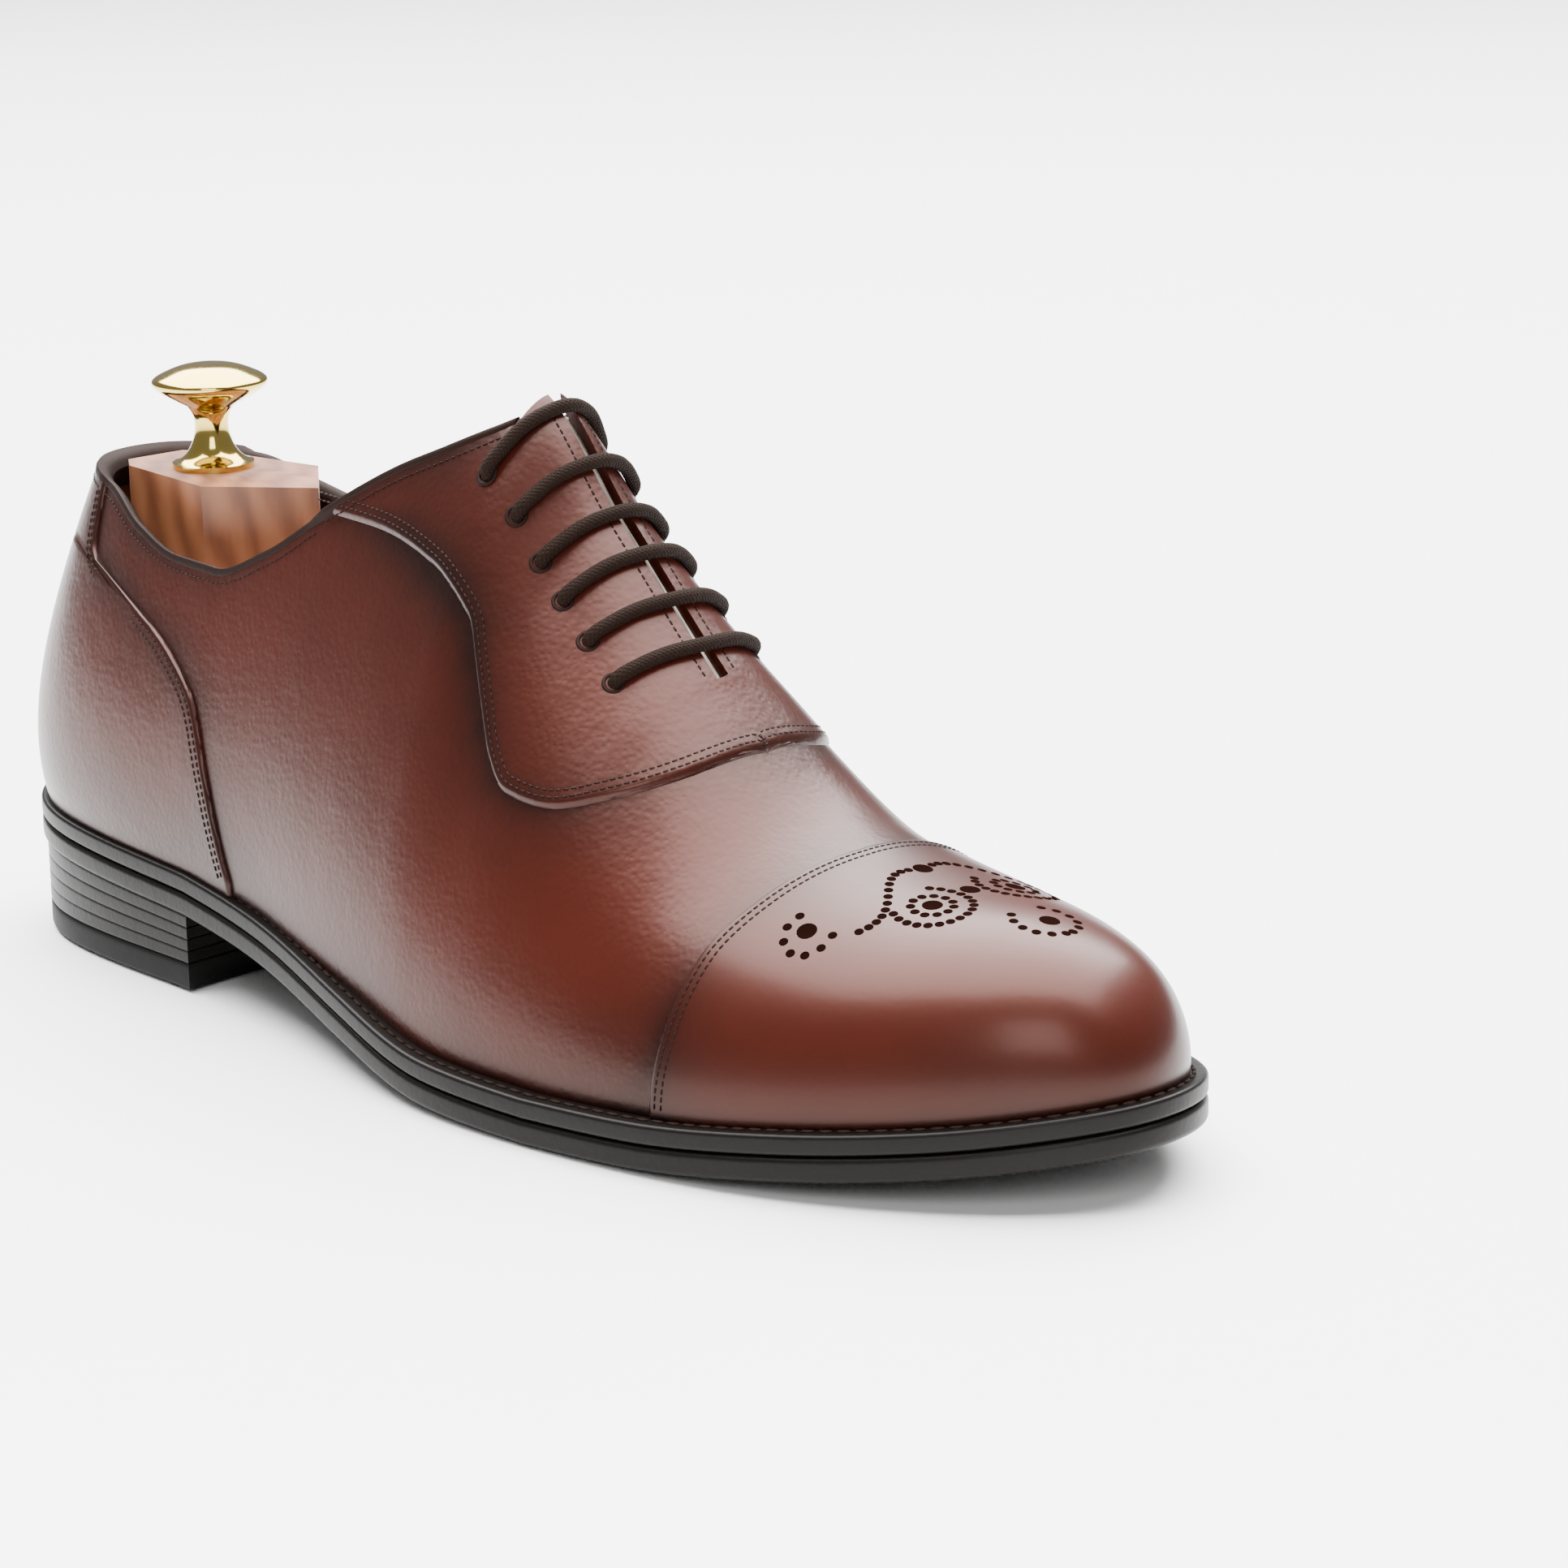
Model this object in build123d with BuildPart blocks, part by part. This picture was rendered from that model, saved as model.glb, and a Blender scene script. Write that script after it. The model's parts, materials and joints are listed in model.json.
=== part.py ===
from build123d import *
from bisect import bisect_right
from functools import lru_cache
import math
import os

# A right-foot cap-toe oxford with straight-bar lacing and a sprung cedar shoe tree in it.
# Millimetres. +X runs to the toe, +Y to the inner (medial) side, +Z up; the ground is Z = 0
# and X = 0, Y = 0 is the middle of the sole's plan box.

# ---------------------------------------------------------------- driving dimensions
SOLE_LENGTH = 306.0
SOLE_WIDTH = 105.2
HEEL_HEIGHT = 20.5
TOE_SPRING = 10.5
INSTEP_HEIGHT = 113.4        # upper above the sole's top, at the throat
OUTSOLE_THICKNESS = 5.0
WELT_THICKNESS = 4.0
WELT_WIDTH = 9.0             # from the sole's edge to the cork
OVERLAY_THICKNESS = 1.0      # cap, lace facing and heel cover, laid on the base leather
LEATHER_THICKNESS = 1.2
STIFFENER_THICKNESS = 0.8
LINING_THICKNESS = 1.0
BINDING_THICKNESS = 0.6
BINDING_WIDTH = 5.0
INSOLE_THICKNESS = 3.0
SOCK_THICKNESS = 1.0
TONGUE_THICKNESS = 1.8
TONGUE_DROP = 3.0            # tongue under the lace's hidden runs
TOP_PIECE_THICKNESS = 6.0
LIFT_COUNT = 4
HEEL_LENGTH = 78.0
HEEL_INSET = 0.8
NAIL_DIAMETER = 1.6
NAIL_LENGTH = 11.0
NAIL_COUNT = 7
SHANK_WIDTH = 15.0
SHANK_THICKNESS = 2.0
EYELET_DIAMETER = 3.4
SLIT_WIDTH = 3.0
LACE_DIAMETER = 2.8
LACE_CLEARANCE = 0.3
TAIL_SINK = 0.4              # how much deeper each further point of a lace end lies
AGLET_LENGTH = 18.0
TREE_CLEARANCE = 0.7
TREE_TRAVEL = 12.0
TREE_AXIS_HEIGHT = 48.0
TREE_TOP_HEIGHT = 99.0
BLOCK_LENGTH = 98.0
TUBE_DIAMETER = 11.0
TUBE_WALL = 1.0
ROD_CLEARANCE = 0.3
ROD_GRIP = 30.0              # rod held inside the heel block
TOE_BLOCK_START = 172.0
TOE_BLOCK_END = 282.0
TOE_SAW_CUT = 1.6
CROSS_PIN_DIAMETER = 4.0
SPRING_WIRE = 1.0
KNOB_DIAMETER = 24.0
KNOB_FLANGE_DIAMETER = 17.0
KNOB_NECK_DIAMETER = 7.0
KNOB_HEIGHT = 21.8
KNOB_SCREW_DIAMETER = 4.0
KNOB_SCREW_LENGTH = 22.0

# Tables below are drawn for this size and stretched to the driving dimensions.
DRAWN_LENGTH = 306.0
DRAWN_WIDTH = 105.2
DRAWN_MIDDLE = -0.6
SOLE_THICKNESS = OUTSOLE_THICKNESS + WELT_THICKNESS
DEPTH_BELOW = 3.0            # how far raw forms reach below the sole's top before trimming
FAR = 400.0

# Sole outline: station from the back of the heel, then side offset (outer side negative).
OUTER_EDGE = [
    (0, 0), (5, -18), (18, -29.5), (40, -35.5), (75, -37.5), (110, -41.2), (145, -49),
    (175, -53.2), (205, -51.8), (232, -47.4), (256, -40), (278, -28.5), (297, -13), (305, 0),
]
INNER_EDGE = [
    (306, 6), (302.5, 20), (291, 32), (272, 42.5), (250, 49.5), (228, 52), (205, 50.5),
    (180, 45), (155, 37), (130, 31.5), (105, 31), (75, 34), (40, 34.5), (18, 29), (5, 18),
]
# Underside of the outsole as a share of the heel's height, then of the toe spring.
ARCH_RISE = [(78, 0.78), (105, 0.61), (140, 0.317), (172, 0.05), (200, 0.0)]
TOE_RISE = [(225, 0.05), (255, 0.29), (280, 0.57), (306, 1.0)]
# Height of the upper's ridge above the sole's top, as a share of INSTEP_HEIGHT.
RIDGE = [
    (0, 0.873), (20, 0.919), (60, 0.968), (100, 1.0), (130, 1.01), (151, 1.0), (172, 0.828),
    (194, 0.63), (224, 0.393), (252, 0.309), (275, 0.272), (290, 0.244), (303, 0.19),
]
RIDGE_SIDE = [(0, 0), (110, 0), (150, 1), (200, 2.5), (250, 4.5), (306, 6.5)]
# Where the ridge is met from each outline station: the walls fan out at heel and toe.
RIDGE_STATION = [
    (0, 40), (8, 41), (30, 48), (60, 66), (95, 96), (215, 215), (255, 246), (280, 257),
    (295, 261), (306, 262),
]
FEATHER_INSET = [
    (0, 3), (80, 2.6), (110, 2.6), (150, 4), (200, 4.8), (260, 4.8), (306, 4.4),
]
# Section shape along the shoe: bulge and height of the lower control, then of the upper.
LOW_BULGE = [(20, 0.233), (50, 0.215), (90, 0.13), (130, 0.067), (160, 0.041), (285, 0.057)]
LOW_HEIGHT = [(20, 0.26), (90, 0.26), (130, 0.22), (160, 0.22), (195, 0.3), (285, 0.5)]
SHOULDER_REACH = [
    (20, 0.70), (50, 0.74), (90, 0.737), (130, 0.68), (160, 0.65), (195, 0.72), (225, 0.78),
    (255, 0.87), (285, 0.964),
]
SHOULDER_HEIGHT = [(20, 0.508), (90, 0.617), (160, 0.717), (195, 0.796), (255, 0.871), (285, 0.94)]
CROWN_REACH = [(20, 0.332), (130, 0.284), (160, 0.278), (195, 0.357), (255, 0.5), (285, 0.6)]
# Topline height above the sole's top, as a share of INSTEP_HEIGHT.
OUTER_TOPLINE = [
    (-10, 0.62), (16, 0.624), (36, 0.613), (51, 0.567), (66, 0.54), (79, 0.542), (95, 0.606),
    (109, 0.697), (129, 0.824), (141, 0.888), (154, 0.962),
]
INNER_TOPLINE = [
    (-10, 0.62), (16, 0.624), (36, 0.62), (51, 0.59), (66, 0.572), (79, 0.57), (95, 0.62),
    (109, 0.70), (129, 0.83), (141, 0.89), (154, 0.962),
]
# Seams seen from the side: station and height above the ground at the drawn size.
FACING_SEAM = [
    (109, 101.5), (128, 100.5), (147, 96), (159, 88), (163.5, 80), (168, 72), (173, 64.5),
    (179, 59.5), (189, 58), (200, 60.5), (207, 63.5), (209.5, 66),
]
HEEL_COVER_SEAM = [(33, 100), (36, 84), (49, 77.5), (60, 74), (71, 68), (80, 60), (86, 47), (94, 26)]
CAP_SEAM = [(226.8, 8), (227.5, 20), (229, 38), (232, 47), (234, 54)]
EYELET_STATIONS = [189.0, 181.6, 174.3, 167.6, 160.6, 152.5]
EYELET_LEVEL = 0.73
SLIT_START = 140.0
SLIT_END = 198.0
LINING_SEAM = 171.0
PUFF_START = 236.0
STIFFENER_END = 92.0
TONGUE_FRONT = 211.0
TONGUE_BACK = 144.0


# ---------------------------------------------------------------- curves and the last's form
def graded(table, station):
    """Value of a smooth curve through the table, without overshoot between its points."""
    stations = [row[0] for row in table]
    here = min(max(station, stations[0]), stations[-1])
    k = min(max(bisect_right(stations, here) - 1, 0), len(table) - 2)

    def secant(i):
        return (table[i + 1][1] - table[i][1]) / (table[i + 1][0] - table[i][0])

    def slope(i):
        if i == 0:
            return secant(0)
        if i == len(table) - 1:
            return secant(i - 1)
        before, after = secant(i - 1), secant(i)
        return 0.0 if before * after <= 0 else 2 * before * after / (before + after)

    width = table[k + 1][0] - table[k][0]
    s = (here - table[k][0]) / width
    rise = table[k][1] * (1 + 2 * s) * (1 - s) ** 2 + table[k + 1][1] * s * s * (3 - 2 * s)
    return rise + width * (slope(k) * s * (1 - s) ** 2 + slope(k + 1) * s * s * (s - 1))


def along(station):
    """Frame X of a station measured from the back of the heel at the drawn size."""
    return (station / DRAWN_LENGTH - 0.5) * SOLE_LENGTH


def across(side):
    """Frame Y of a side offset at the drawn size."""
    return (side - DRAWN_MIDDLE) / DRAWN_WIDTH * SOLE_WIDTH


def underside(station):
    """Height of the outsole's underside above the ground."""
    if station <= HEEL_LENGTH:
        return HEEL_HEIGHT * (1 - (1 - ARCH_RISE[0][1]) * station / HEEL_LENGTH)
    if station <= ARCH_RISE[-1][0]:
        return HEEL_HEIGHT * graded(ARCH_RISE, station)
    return TOE_SPRING * graded([(ARCH_RISE[-1][0], 0.0)] + TOE_RISE, station)


def seat(station):
    """Height of the sole's top, which the upper stands on."""
    return underside(station) + SOLE_THICKNESS


def ridge_height(station):
    return seat(station) + INSTEP_HEIGHT * graded(RIDGE, station)


@lru_cache(maxsize=None)
def outline_ring():
    """Even samples of the sole's outline: station, side and inward normal, drawn size."""
    count = 720
    edge = Edge.make_spline([Vector(x, y) for x, y in OUTER_EDGE + INNER_EDGE], periodic=True)
    ring = []
    for k in range(count + 1):
        point = edge.position_at(k / count)
        tangent = edge.tangent_at(k / count)
        ring.append((point.X, point.Y, -tangent.Y, tangent.X))
    return ring


def outline_at(u):
    """Point and inward normal at share u of the way round the outline."""
    ring = outline_ring()
    place = min(max(u, 0.0), 1.0) * (len(ring) - 1)
    k = min(int(place), len(ring) - 2)
    share = place - k
    return [a + (b - a) * share for a, b in zip(ring[k], ring[k + 1])]


@lru_cache(maxsize=None)
def toe_share():
    """Share of the outline at which the foremost point is reached."""
    ring = outline_ring()
    return max(range(len(ring)), key=lambda k: ring[k][0]) / (len(ring) - 1)


def skin(u, t, inset):
    """Point of the upper, from the feather line (t = 0) to the ridge (t = 1), drawn size."""
    x, y, nx, ny = outline_at(u)
    reach = graded(FEATHER_INSET, x) + inset
    foot_x, foot_y = x + nx * reach, y + ny * reach
    crest_x = graded(RIDGE_STATION, foot_x)
    crest_y = graded(RIDGE_SIDE, crest_x)
    low, low_rise = graded(LOW_BULGE, crest_x), graded(LOW_HEIGHT, crest_x)
    shoulder, shoulder_rise = graded(SHOULDER_REACH, crest_x), graded(SHOULDER_HEIGHT, crest_x)
    crown = graded(CROWN_REACH, crest_x)
    weight = [math.comb(4, k) * t ** k * (1 - t) ** (4 - k) for k in range(5)]
    reach_share = weight[0] + weight[1] * (1 + low) + weight[2] * shoulder + weight[3] * crown
    rise_share = weight[1] * low_rise + weight[2] * shoulder_rise + weight[3] + weight[4]
    px = crest_x + (foot_x - crest_x) * reach_share
    py = crest_y + (foot_y - crest_y) * reach_share
    steepness = (ridge_height(crest_x + 2) - ridge_height(crest_x - 2)) / 4
    crest = ridge_height(px) - inset * math.hypot(1, min(abs(steepness), 1.2))
    base = seat(foot_x) - DEPTH_BELOW
    return px, py, base + (crest - base) * rise_share


def solve(function, low, high):
    """Argument at which a rising or falling function crosses zero."""
    rising = function(high) > function(low)
    for _ in range(30):
        middle = (low + high) / 2
        if (function(middle) > 0) == rising:
            high = middle
        else:
            low = middle
    return (low + high) / 2


def level_span(station, inset):
    """Lowest and highest section level that this station's plane meets."""
    back = station < DRAWN_LENGTH / 2
    end = 0.0 if back else toe_share()
    sign = 1 if back else -1
    levels = [k / 40 for k in range(41)]
    beyond = [sign * (skin(end, t, inset)[0] - station) for t in levels]
    widest = min(range(41), key=lambda k: beyond[k])
    low, high = 0.0, 1.0

    def gap(t):
        return sign * (skin(end, t, inset)[0] - station)

    if beyond[0] > 0:
        low = solve(gap, 0.0, levels[widest])
    if beyond[-1] > 0:
        high = solve(gap, levels[widest], 1.0)
    return low, high


def side_point(station, t, inset, inner):
    """Point of one wall in the plane of a station, drawn size."""
    toe = toe_share()
    span = (1.0, toe) if inner else (0.0, toe)
    u = solve(lambda s: skin(s, t, inset)[0] - station, *span)
    return skin(u, t, inset)


def arch_points(station, inset):
    """Section of the upper in one plane, from the outer foot over the ridge to the inner."""
    low, high = level_span(station, inset)
    shares = [0.004, 0.2, 0.4, 0.6, 0.8, 0.92]
    levels = [low + (high - low) * share for share in shares]
    outer = [side_point(station, t, inset, False) for t in levels]
    inner = [side_point(station, t, inset, True) for t in levels]
    left, right = side_point(station, high, inset, False), side_point(station, high, inset, True)
    crest = (station, (left[1] + right[1]) / 2, (left[2] + right[2]) / 2)
    chain = outer + [crest] + inner[::-1]
    return [(across(y), z) for _, y, z in chain]


def form_stations(inset):
    """Planes that the form is lofted through, closer together at heel and toe."""
    heel = min(skin(0.0, k / 20, inset)[0] for k in range(12))
    toe = skin(toe_share(), 0.02, inset)[0]
    near = [heel + step for step in (0.5, 2.2, 6.0, 12.0, 20.0)]
    middle = [36, 52, 70, 90, 110, 130, 150, 170, 190, 210, 228, 246, 262, 276]
    return near + middle + [toe - step for step in (13.0, 7.0, 3.2, 1.0)]


@lru_cache(maxsize=None)
def form(inset):
    """Solid of the upper's outer shape moved in by the inset, standing on the sole."""
    with BuildPart() as body:
        for station in form_stations(inset):
            chain = arch_points(station, inset)
            with BuildSketch(Plane.YZ.offset(along(station))):
                with BuildLine():
                    Spline(*chain)
                    Line(chain[-1], chain[0])
                make_face()
        loft()
        add(band(-FAR, SOLE_THICKNESS), mode=Mode.SUBTRACT)
    return body.part


def shell(outer_inset, inner_inset):
    """Leather between two forms."""
    with BuildPart() as body:
        add(form(outer_inset))
        add(form(inner_inset), mode=Mode.SUBTRACT)
    return body.part


# ---------------------------------------------------------------- side-view prisms
def sole_curve(rise):
    """Side-view line of the sole's underside, lifted by rise."""
    seat_line = [(along(x), underside(x) + rise) for x in (-6.0, HEEL_LENGTH)]
    stations = [HEEL_LENGTH] + [x for x, _ in ARCH_RISE[1:] + TOE_RISE]
    chain = [(along(x), underside(x) + rise) for x in stations]
    direction = (seat_line[1][0] - seat_line[0][0], seat_line[1][1] - seat_line[0][1])
    end = (chain[-1][0] - chain[-2][0], chain[-1][1] - chain[-2][1])
    Line(*seat_line)
    Spline(*chain, tangents=[direction, end])
    return seat_line[0], chain[-1]


@lru_cache(maxsize=None)
def band(low, high):
    """Layer of the sole's side view between two rises above the underside, full width."""
    with BuildPart() as body:
        with BuildSketch(Plane.XZ):
            with BuildLine():
                start, finish = sole_curve(high)
                if low <= -FAR:
                    tail = (finish[0] + DEPTH_BELOW, finish[1])
                    Polyline(finish, tail, (tail[0], low), (start[0], low), start)
                else:
                    low_start, low_finish = sole_curve(low)
                    Line(finish, low_finish)
                    Line(low_start, start)
            make_face()
        extrude(amount=SOLE_WIDTH, both=True)
    return body.part


def side_prism(chain, closing, low_y=-FAR, high_y=FAR):
    """Prism across the shoe: a smooth side-view line, closed through the given corners."""
    with BuildPart() as body:
        with BuildSketch(Plane.XZ.offset(-high_y)):
            with BuildLine():
                Spline(*chain)
                Polyline(chain[-1], *closing, chain[0])
            make_face()
        extrude(amount=high_y - low_y)
    return body.part


def topline_chain(table, drop=0.0):
    return [(along(x), seat(x) + INSTEP_HEIGHT * share - drop) for x, share in table]


def above_topline(drop=0.0):
    """Everything above the topline, lowered by drop."""
    middle = across(graded(RIDGE_SIDE, 110))
    with BuildPart() as body:
        for table, low_y, high_y in ((OUTER_TOPLINE, -FAR, middle), (INNER_TOPLINE, middle, FAR)):
            chain = topline_chain(table, drop)
            corners = [(chain[-1][0], FAR), (chain[0][0] - FAR, FAR), (chain[0][0] - FAR, chain[0][1])]
            add(side_prism(chain, corners, low_y, high_y))
    return body.part


def seam_chain(table):
    """A seam in the frame, its heights carried by the sole and the instep height."""
    scale = INSTEP_HEIGHT / 113.4
    drawn_seat = 9.0
    chain = []
    for x, z in table:
        drawn = drawn_seat + underside(x)
        chain.append((along(x), seat(x) + (z - drawn) * scale))
    return chain


def facing_region():
    chain = seam_chain(FACING_SEAM)
    return side_prism(chain, [(chain[-1][0], FAR), (chain[0][0], FAR)])


def heel_cover_region():
    chain = seam_chain(HEEL_COVER_SEAM)
    return side_prism(chain, [(chain[-1][0], -FAR), (-FAR, -FAR), (-FAR, FAR), (chain[0][0], FAR)])


def cap_region():
    chain = seam_chain(CAP_SEAM)
    return side_prism(chain, [(chain[-1][0], FAR), (FAR, FAR), (FAR, -FAR), (chain[0][0], -FAR)])


def slab(start, finish, low_y=-FAR, high_y=FAR, low_z=-FAR, high_z=FAR):
    """Box between two stations, with optional side and height limits."""
    x0, x1 = along(start), along(finish)
    with BuildPart() as body:
        with BuildSketch(Plane.XY.offset(low_z)):
            with Locations(((x0 + x1) / 2, (low_y + high_y) / 2)):
                Rectangle(x1 - x0, high_y - low_y)
        extrude(amount=high_z - low_z)
    return body.part


def slit():
    middle = across(graded(RIDGE_SIDE, (SLIT_START + SLIT_END) / 2))
    return slab(SLIT_START, SLIT_END, middle - SLIT_WIDTH / 2, middle + SLIT_WIDTH / 2, 40)


# ---------------------------------------------------------------- eyelets and the lace's route
def framed(point):
    return Vector(along(point[0]), across(point[1]), point[2])


def wall_frame(station, level, inner, inset=0.0):
    """Point on the upper and its outward direction, in the frame."""
    here = framed(side_point(station, level, inset, inner))
    ahead = framed(side_point(station + 2, level, inset, inner))
    up = framed(side_point(station, level + 0.02, inset, inner))
    outward = (ahead - here).cross(up - here).normalized()
    return here, (outward if outward.Z > 0 else outward * -1)


def eyelet_cutter(station, inner):
    here, outward = wall_frame(station, EYELET_LEVEL, inner)
    with BuildPart() as body:
        with BuildSketch(Plane(origin=here, z_dir=outward)):
            Circle(EYELET_DIAMETER / 2)
        extrude(amount=LEATHER_THICKNESS + LINING_THICKNESS + 5, both=True)
    return body.part


@lru_cache(maxsize=None)
def eyelet_cutters():
    return [eyelet_cutter(x, inner) for x in EYELET_STATIONS for inner in (False, True)]


LINED_DEPTH = LEATHER_THICKNESS + STIFFENER_THICKNESS + LINING_THICKNESS
LACE_DEPTH = LINED_DEPTH + LACE_DIAMETER / 2 + LACE_CLEARANCE
TONGUE_DEPTH = LINED_DEPTH + LACE_DIAMETER + TONGUE_DROP
BAR_LIFT = OVERLAY_THICKNESS + LACE_DIAMETER / 2 + LACE_CLEARANCE
TREE_DEPTH = LINED_DEPTH + BINDING_THICKNESS + TREE_CLEARANCE
TOE_DEPTH = TONGUE_DEPTH + TONGUE_THICKNESS + TREE_CLEARANCE


def layer_point(station, level, inner, depth):
    """Point at a depth under the base leather's surface (negative is above it)."""
    here, outward = wall_frame(station, level, inner)
    return here - outward * depth


def bar_points(row):
    """A bar of lace from the outer eyelet over the slit to the inner eyelet."""
    station = EYELET_STATIONS[row]
    outer = [layer_point(station, t, False, -BAR_LIFT - 0.2) for t in (EYELET_LEVEL, 0.86)]
    inner = [layer_point(station, t, True, -BAR_LIFT - 0.2) for t in (0.86, EYELET_LEVEL)]
    crest = framed(side_point(station, 1.0, 0.0, False))
    crest = crest + Vector(0.45, 0, 0.9) * (BAR_LIFT + 0.6)
    return outer + [crest] + inner


def run_points(first, last, inner, level):
    """A hidden run under the lining between two eyelets of one side."""
    start, finish = EYELET_STATIONS[first], EYELET_STATIONS[last]
    step = 2.6 if finish < start else -2.6
    middle = (start + finish) / 2
    stations = (start - step, middle, finish + step) if abs(finish - start) > 10 else (middle,)
    points = [layer_point(start, EYELET_LEVEL, inner, LACE_DEPTH)]
    for station in stations:
        points.append(layer_point(station, level, inner, LACE_DEPTH))
    points.append(layer_point(finish, EYELET_LEVEL, inner, LACE_DEPTH))
    return points


def tail_points(row, level, stations):
    """The lace's end, tucked down inside the inner facing."""
    points = [layer_point(EYELET_STATIONS[row], EYELET_LEVEL, True, LACE_DEPTH)]
    for k, station in enumerate(stations):
        points.append(layer_point(station, level, True, LACE_DEPTH + k * TAIL_SINK))
    return points


def lace_route():
    """The whole lace: tail, bars 6, 4, 2, 1, 3, 5 and tail, rows numbered from the toe."""
    route = tail_points(5, 0.50, (157, 170, 183))[::-1]
    route += bar_points(5)[::-1]
    route += run_points(5, 3, False, 0.83)
    route += bar_points(3)
    route += run_points(3, 1, True, 0.83)
    route += bar_points(1)[::-1]
    route += run_points(1, 0, False, 0.66)
    route += bar_points(0)
    route += run_points(0, 2, True, 0.64)
    route += bar_points(2)[::-1]
    route += run_points(2, 4, False, 0.64)
    route += bar_points(4)
    route += tail_points(4, 0.57, (164, 176, 188))
    return route


def corner_radius(before, corner, after):
    """Largest arc that the two runs beside a corner allow."""
    turn = (corner - before).get_angle(after - corner)
    shorter = min((corner - before).length, (after - corner).length)
    return 0.45 * shorter / math.tan(math.radians(max(turn, 2.0) / 2))


def cord_tube(route, diameter):
    """Round tube along straight runs joined by tangent arcs."""
    radii = [corner_radius(*route[k:k + 3]) for k in range(len(route) - 2)]
    with BuildPart() as body:
        with BuildLine() as line:
            FilletPolyline(*route, radius=radii)
        with BuildSketch(Plane(origin=line.line @ 0, z_dir=line.line % 0)):
            Circle(diameter / 2)
        sweep()
    return body, sum(edge.length for edge in line.edges()), radii


# ---------------------------------------------------------------- writing
os.makedirs("parts", exist_ok=True)


def save(piece, label):
    piece.label = label
    export_step(piece, f"parts/{label}.step")


# ---------------------------------------------------------------- sole unit
@lru_cache(maxsize=None)
def outline_column(inset):
    """Upright column with the sole's outline moved in by the inset."""
    count = 36
    places = [outline_at(k / count) for k in range(count)]
    chain = [(along(x + nx * inset), across(y + ny * inset)) for x, y, nx, ny in places]
    with BuildPart() as body:
        with BuildSketch(Plane.XY.offset(-FAR / 2)):
            with BuildLine():
                Spline(*chain, periodic=True)
            make_face()
        extrude(amount=FAR)
    return body.part


def sole_layer(low, high, inset):
    """Layer of the sole within its outline."""
    with BuildPart() as body:
        add(outline_column(inset))
        add(band(low, high), mode=Mode.INTERSECT)
    return body.part


with BuildPart() as outsole:
    add(sole_layer(0, OUTSOLE_THICKNESS, 0))
save(outsole.part, "outsole")

with BuildPart() as welt:
    add(sole_layer(OUTSOLE_THICKNESS, SOLE_THICKNESS, 0))
    add(sole_layer(OUTSOLE_THICKNESS, SOLE_THICKNESS, WELT_WIDTH), mode=Mode.SUBTRACT)
save(welt.part, "welt")

SHANK_START = 55.0
SHANK_END = 165.0
with BuildPart() as shank:
    add(sole_layer(OUTSOLE_THICKNESS, OUTSOLE_THICKNESS + SHANK_THICKNESS, WELT_WIDTH + 1))
    add(slab(SHANK_START, SHANK_END, -SHANK_WIDTH / 2, SHANK_WIDTH / 2), mode=Mode.INTERSECT)
save(shank.part, "shank")

with BuildPart() as cork_filler:
    add(sole_layer(OUTSOLE_THICKNESS, SOLE_THICKNESS, WELT_WIDTH))
    add(shank.part, mode=Mode.SUBTRACT)
save(cork_filler.part, "cork_filler")


def heel_block(low, high, inset):
    """Layer of the heel between two side-view lines, given as (back, breast) heights."""
    back, breast = along(-6.0), along(HEEL_LENGTH)
    with BuildPart() as body:
        add(outline_column(inset))
        with BuildSketch(Plane.XZ):
            with BuildLine():
                Polyline((back, low[0]), (breast, low[1]), (breast, high[1]), (back, high[0]), close=True)
            make_face()
        extrude(amount=SOLE_WIDTH, both=True, mode=Mode.INTERSECT)
    return body.part


def heel_level(share):
    """Back and breast heights at a share of the stack above the top piece."""
    back, breast = underside(-6.0), underside(HEEL_LENGTH)
    return tuple(TOP_PIECE_THICKNESS + share * (top - TOP_PIECE_THICKNESS) for top in (back, breast))


def nail_places():
    """Nails in a horseshoe, in from the heel's edge."""
    radius = 21.0
    centre = (along(34.0), across(0.0))
    places = []
    for k in range(NAIL_COUNT):
        turn = math.radians(70 + 220 * k / (NAIL_COUNT - 1))
        places.append((centre[0] + radius * math.cos(turn), centre[1] + radius * math.sin(turn)))
    return places


NAIL_BASE = 1.5
with BuildPart() as heel_nails:
    with BuildSketch(Plane.XY.offset(NAIL_BASE)):
        with Locations(*nail_places()):
            Circle(NAIL_DIAMETER / 2)
    extrude(amount=NAIL_LENGTH)
save(heel_nails.part, "heel_nails")

with BuildPart() as heel_top_piece:
    flat = (TOP_PIECE_THICKNESS, TOP_PIECE_THICKNESS)
    add(heel_block((0, 0), flat, HEEL_INSET))
    chamfer(heel_top_piece.faces().sort_by(Axis.Z)[0].edges(), 0.8)
    with BuildSketch():
        with Locations(*nail_places()):
            Circle(NAIL_DIAMETER / 2)
    extrude(amount=TOP_PIECE_THICKNESS, mode=Mode.SUBTRACT)
save(heel_top_piece.part, "heel_top_piece")

for lift in range(LIFT_COUNT):
    with BuildPart() as heel_lift:
        low, high = heel_level(lift / LIFT_COUNT), heel_level((lift + 1) / LIFT_COUNT)
        add(heel_block(low, high, HEEL_INSET))
        add(heel_nails.part, mode=Mode.SUBTRACT)
    save(heel_lift.part, f"heel_lift_{lift + 1}")

# ---------------------------------------------------------------- upper
base_leather = shell(0.0, LEATHER_THICKNESS)
overlay_leather = shell(-OVERLAY_THICKNESS, 0.0)
middle_leather = shell(LEATHER_THICKNESS, LEATHER_THICKNESS + STIFFENER_THICKNESS)
lining_leather = shell(LEATHER_THICKNESS + STIFFENER_THICKNESS, LINED_DEPTH)
collar_cut = above_topline()

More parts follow.
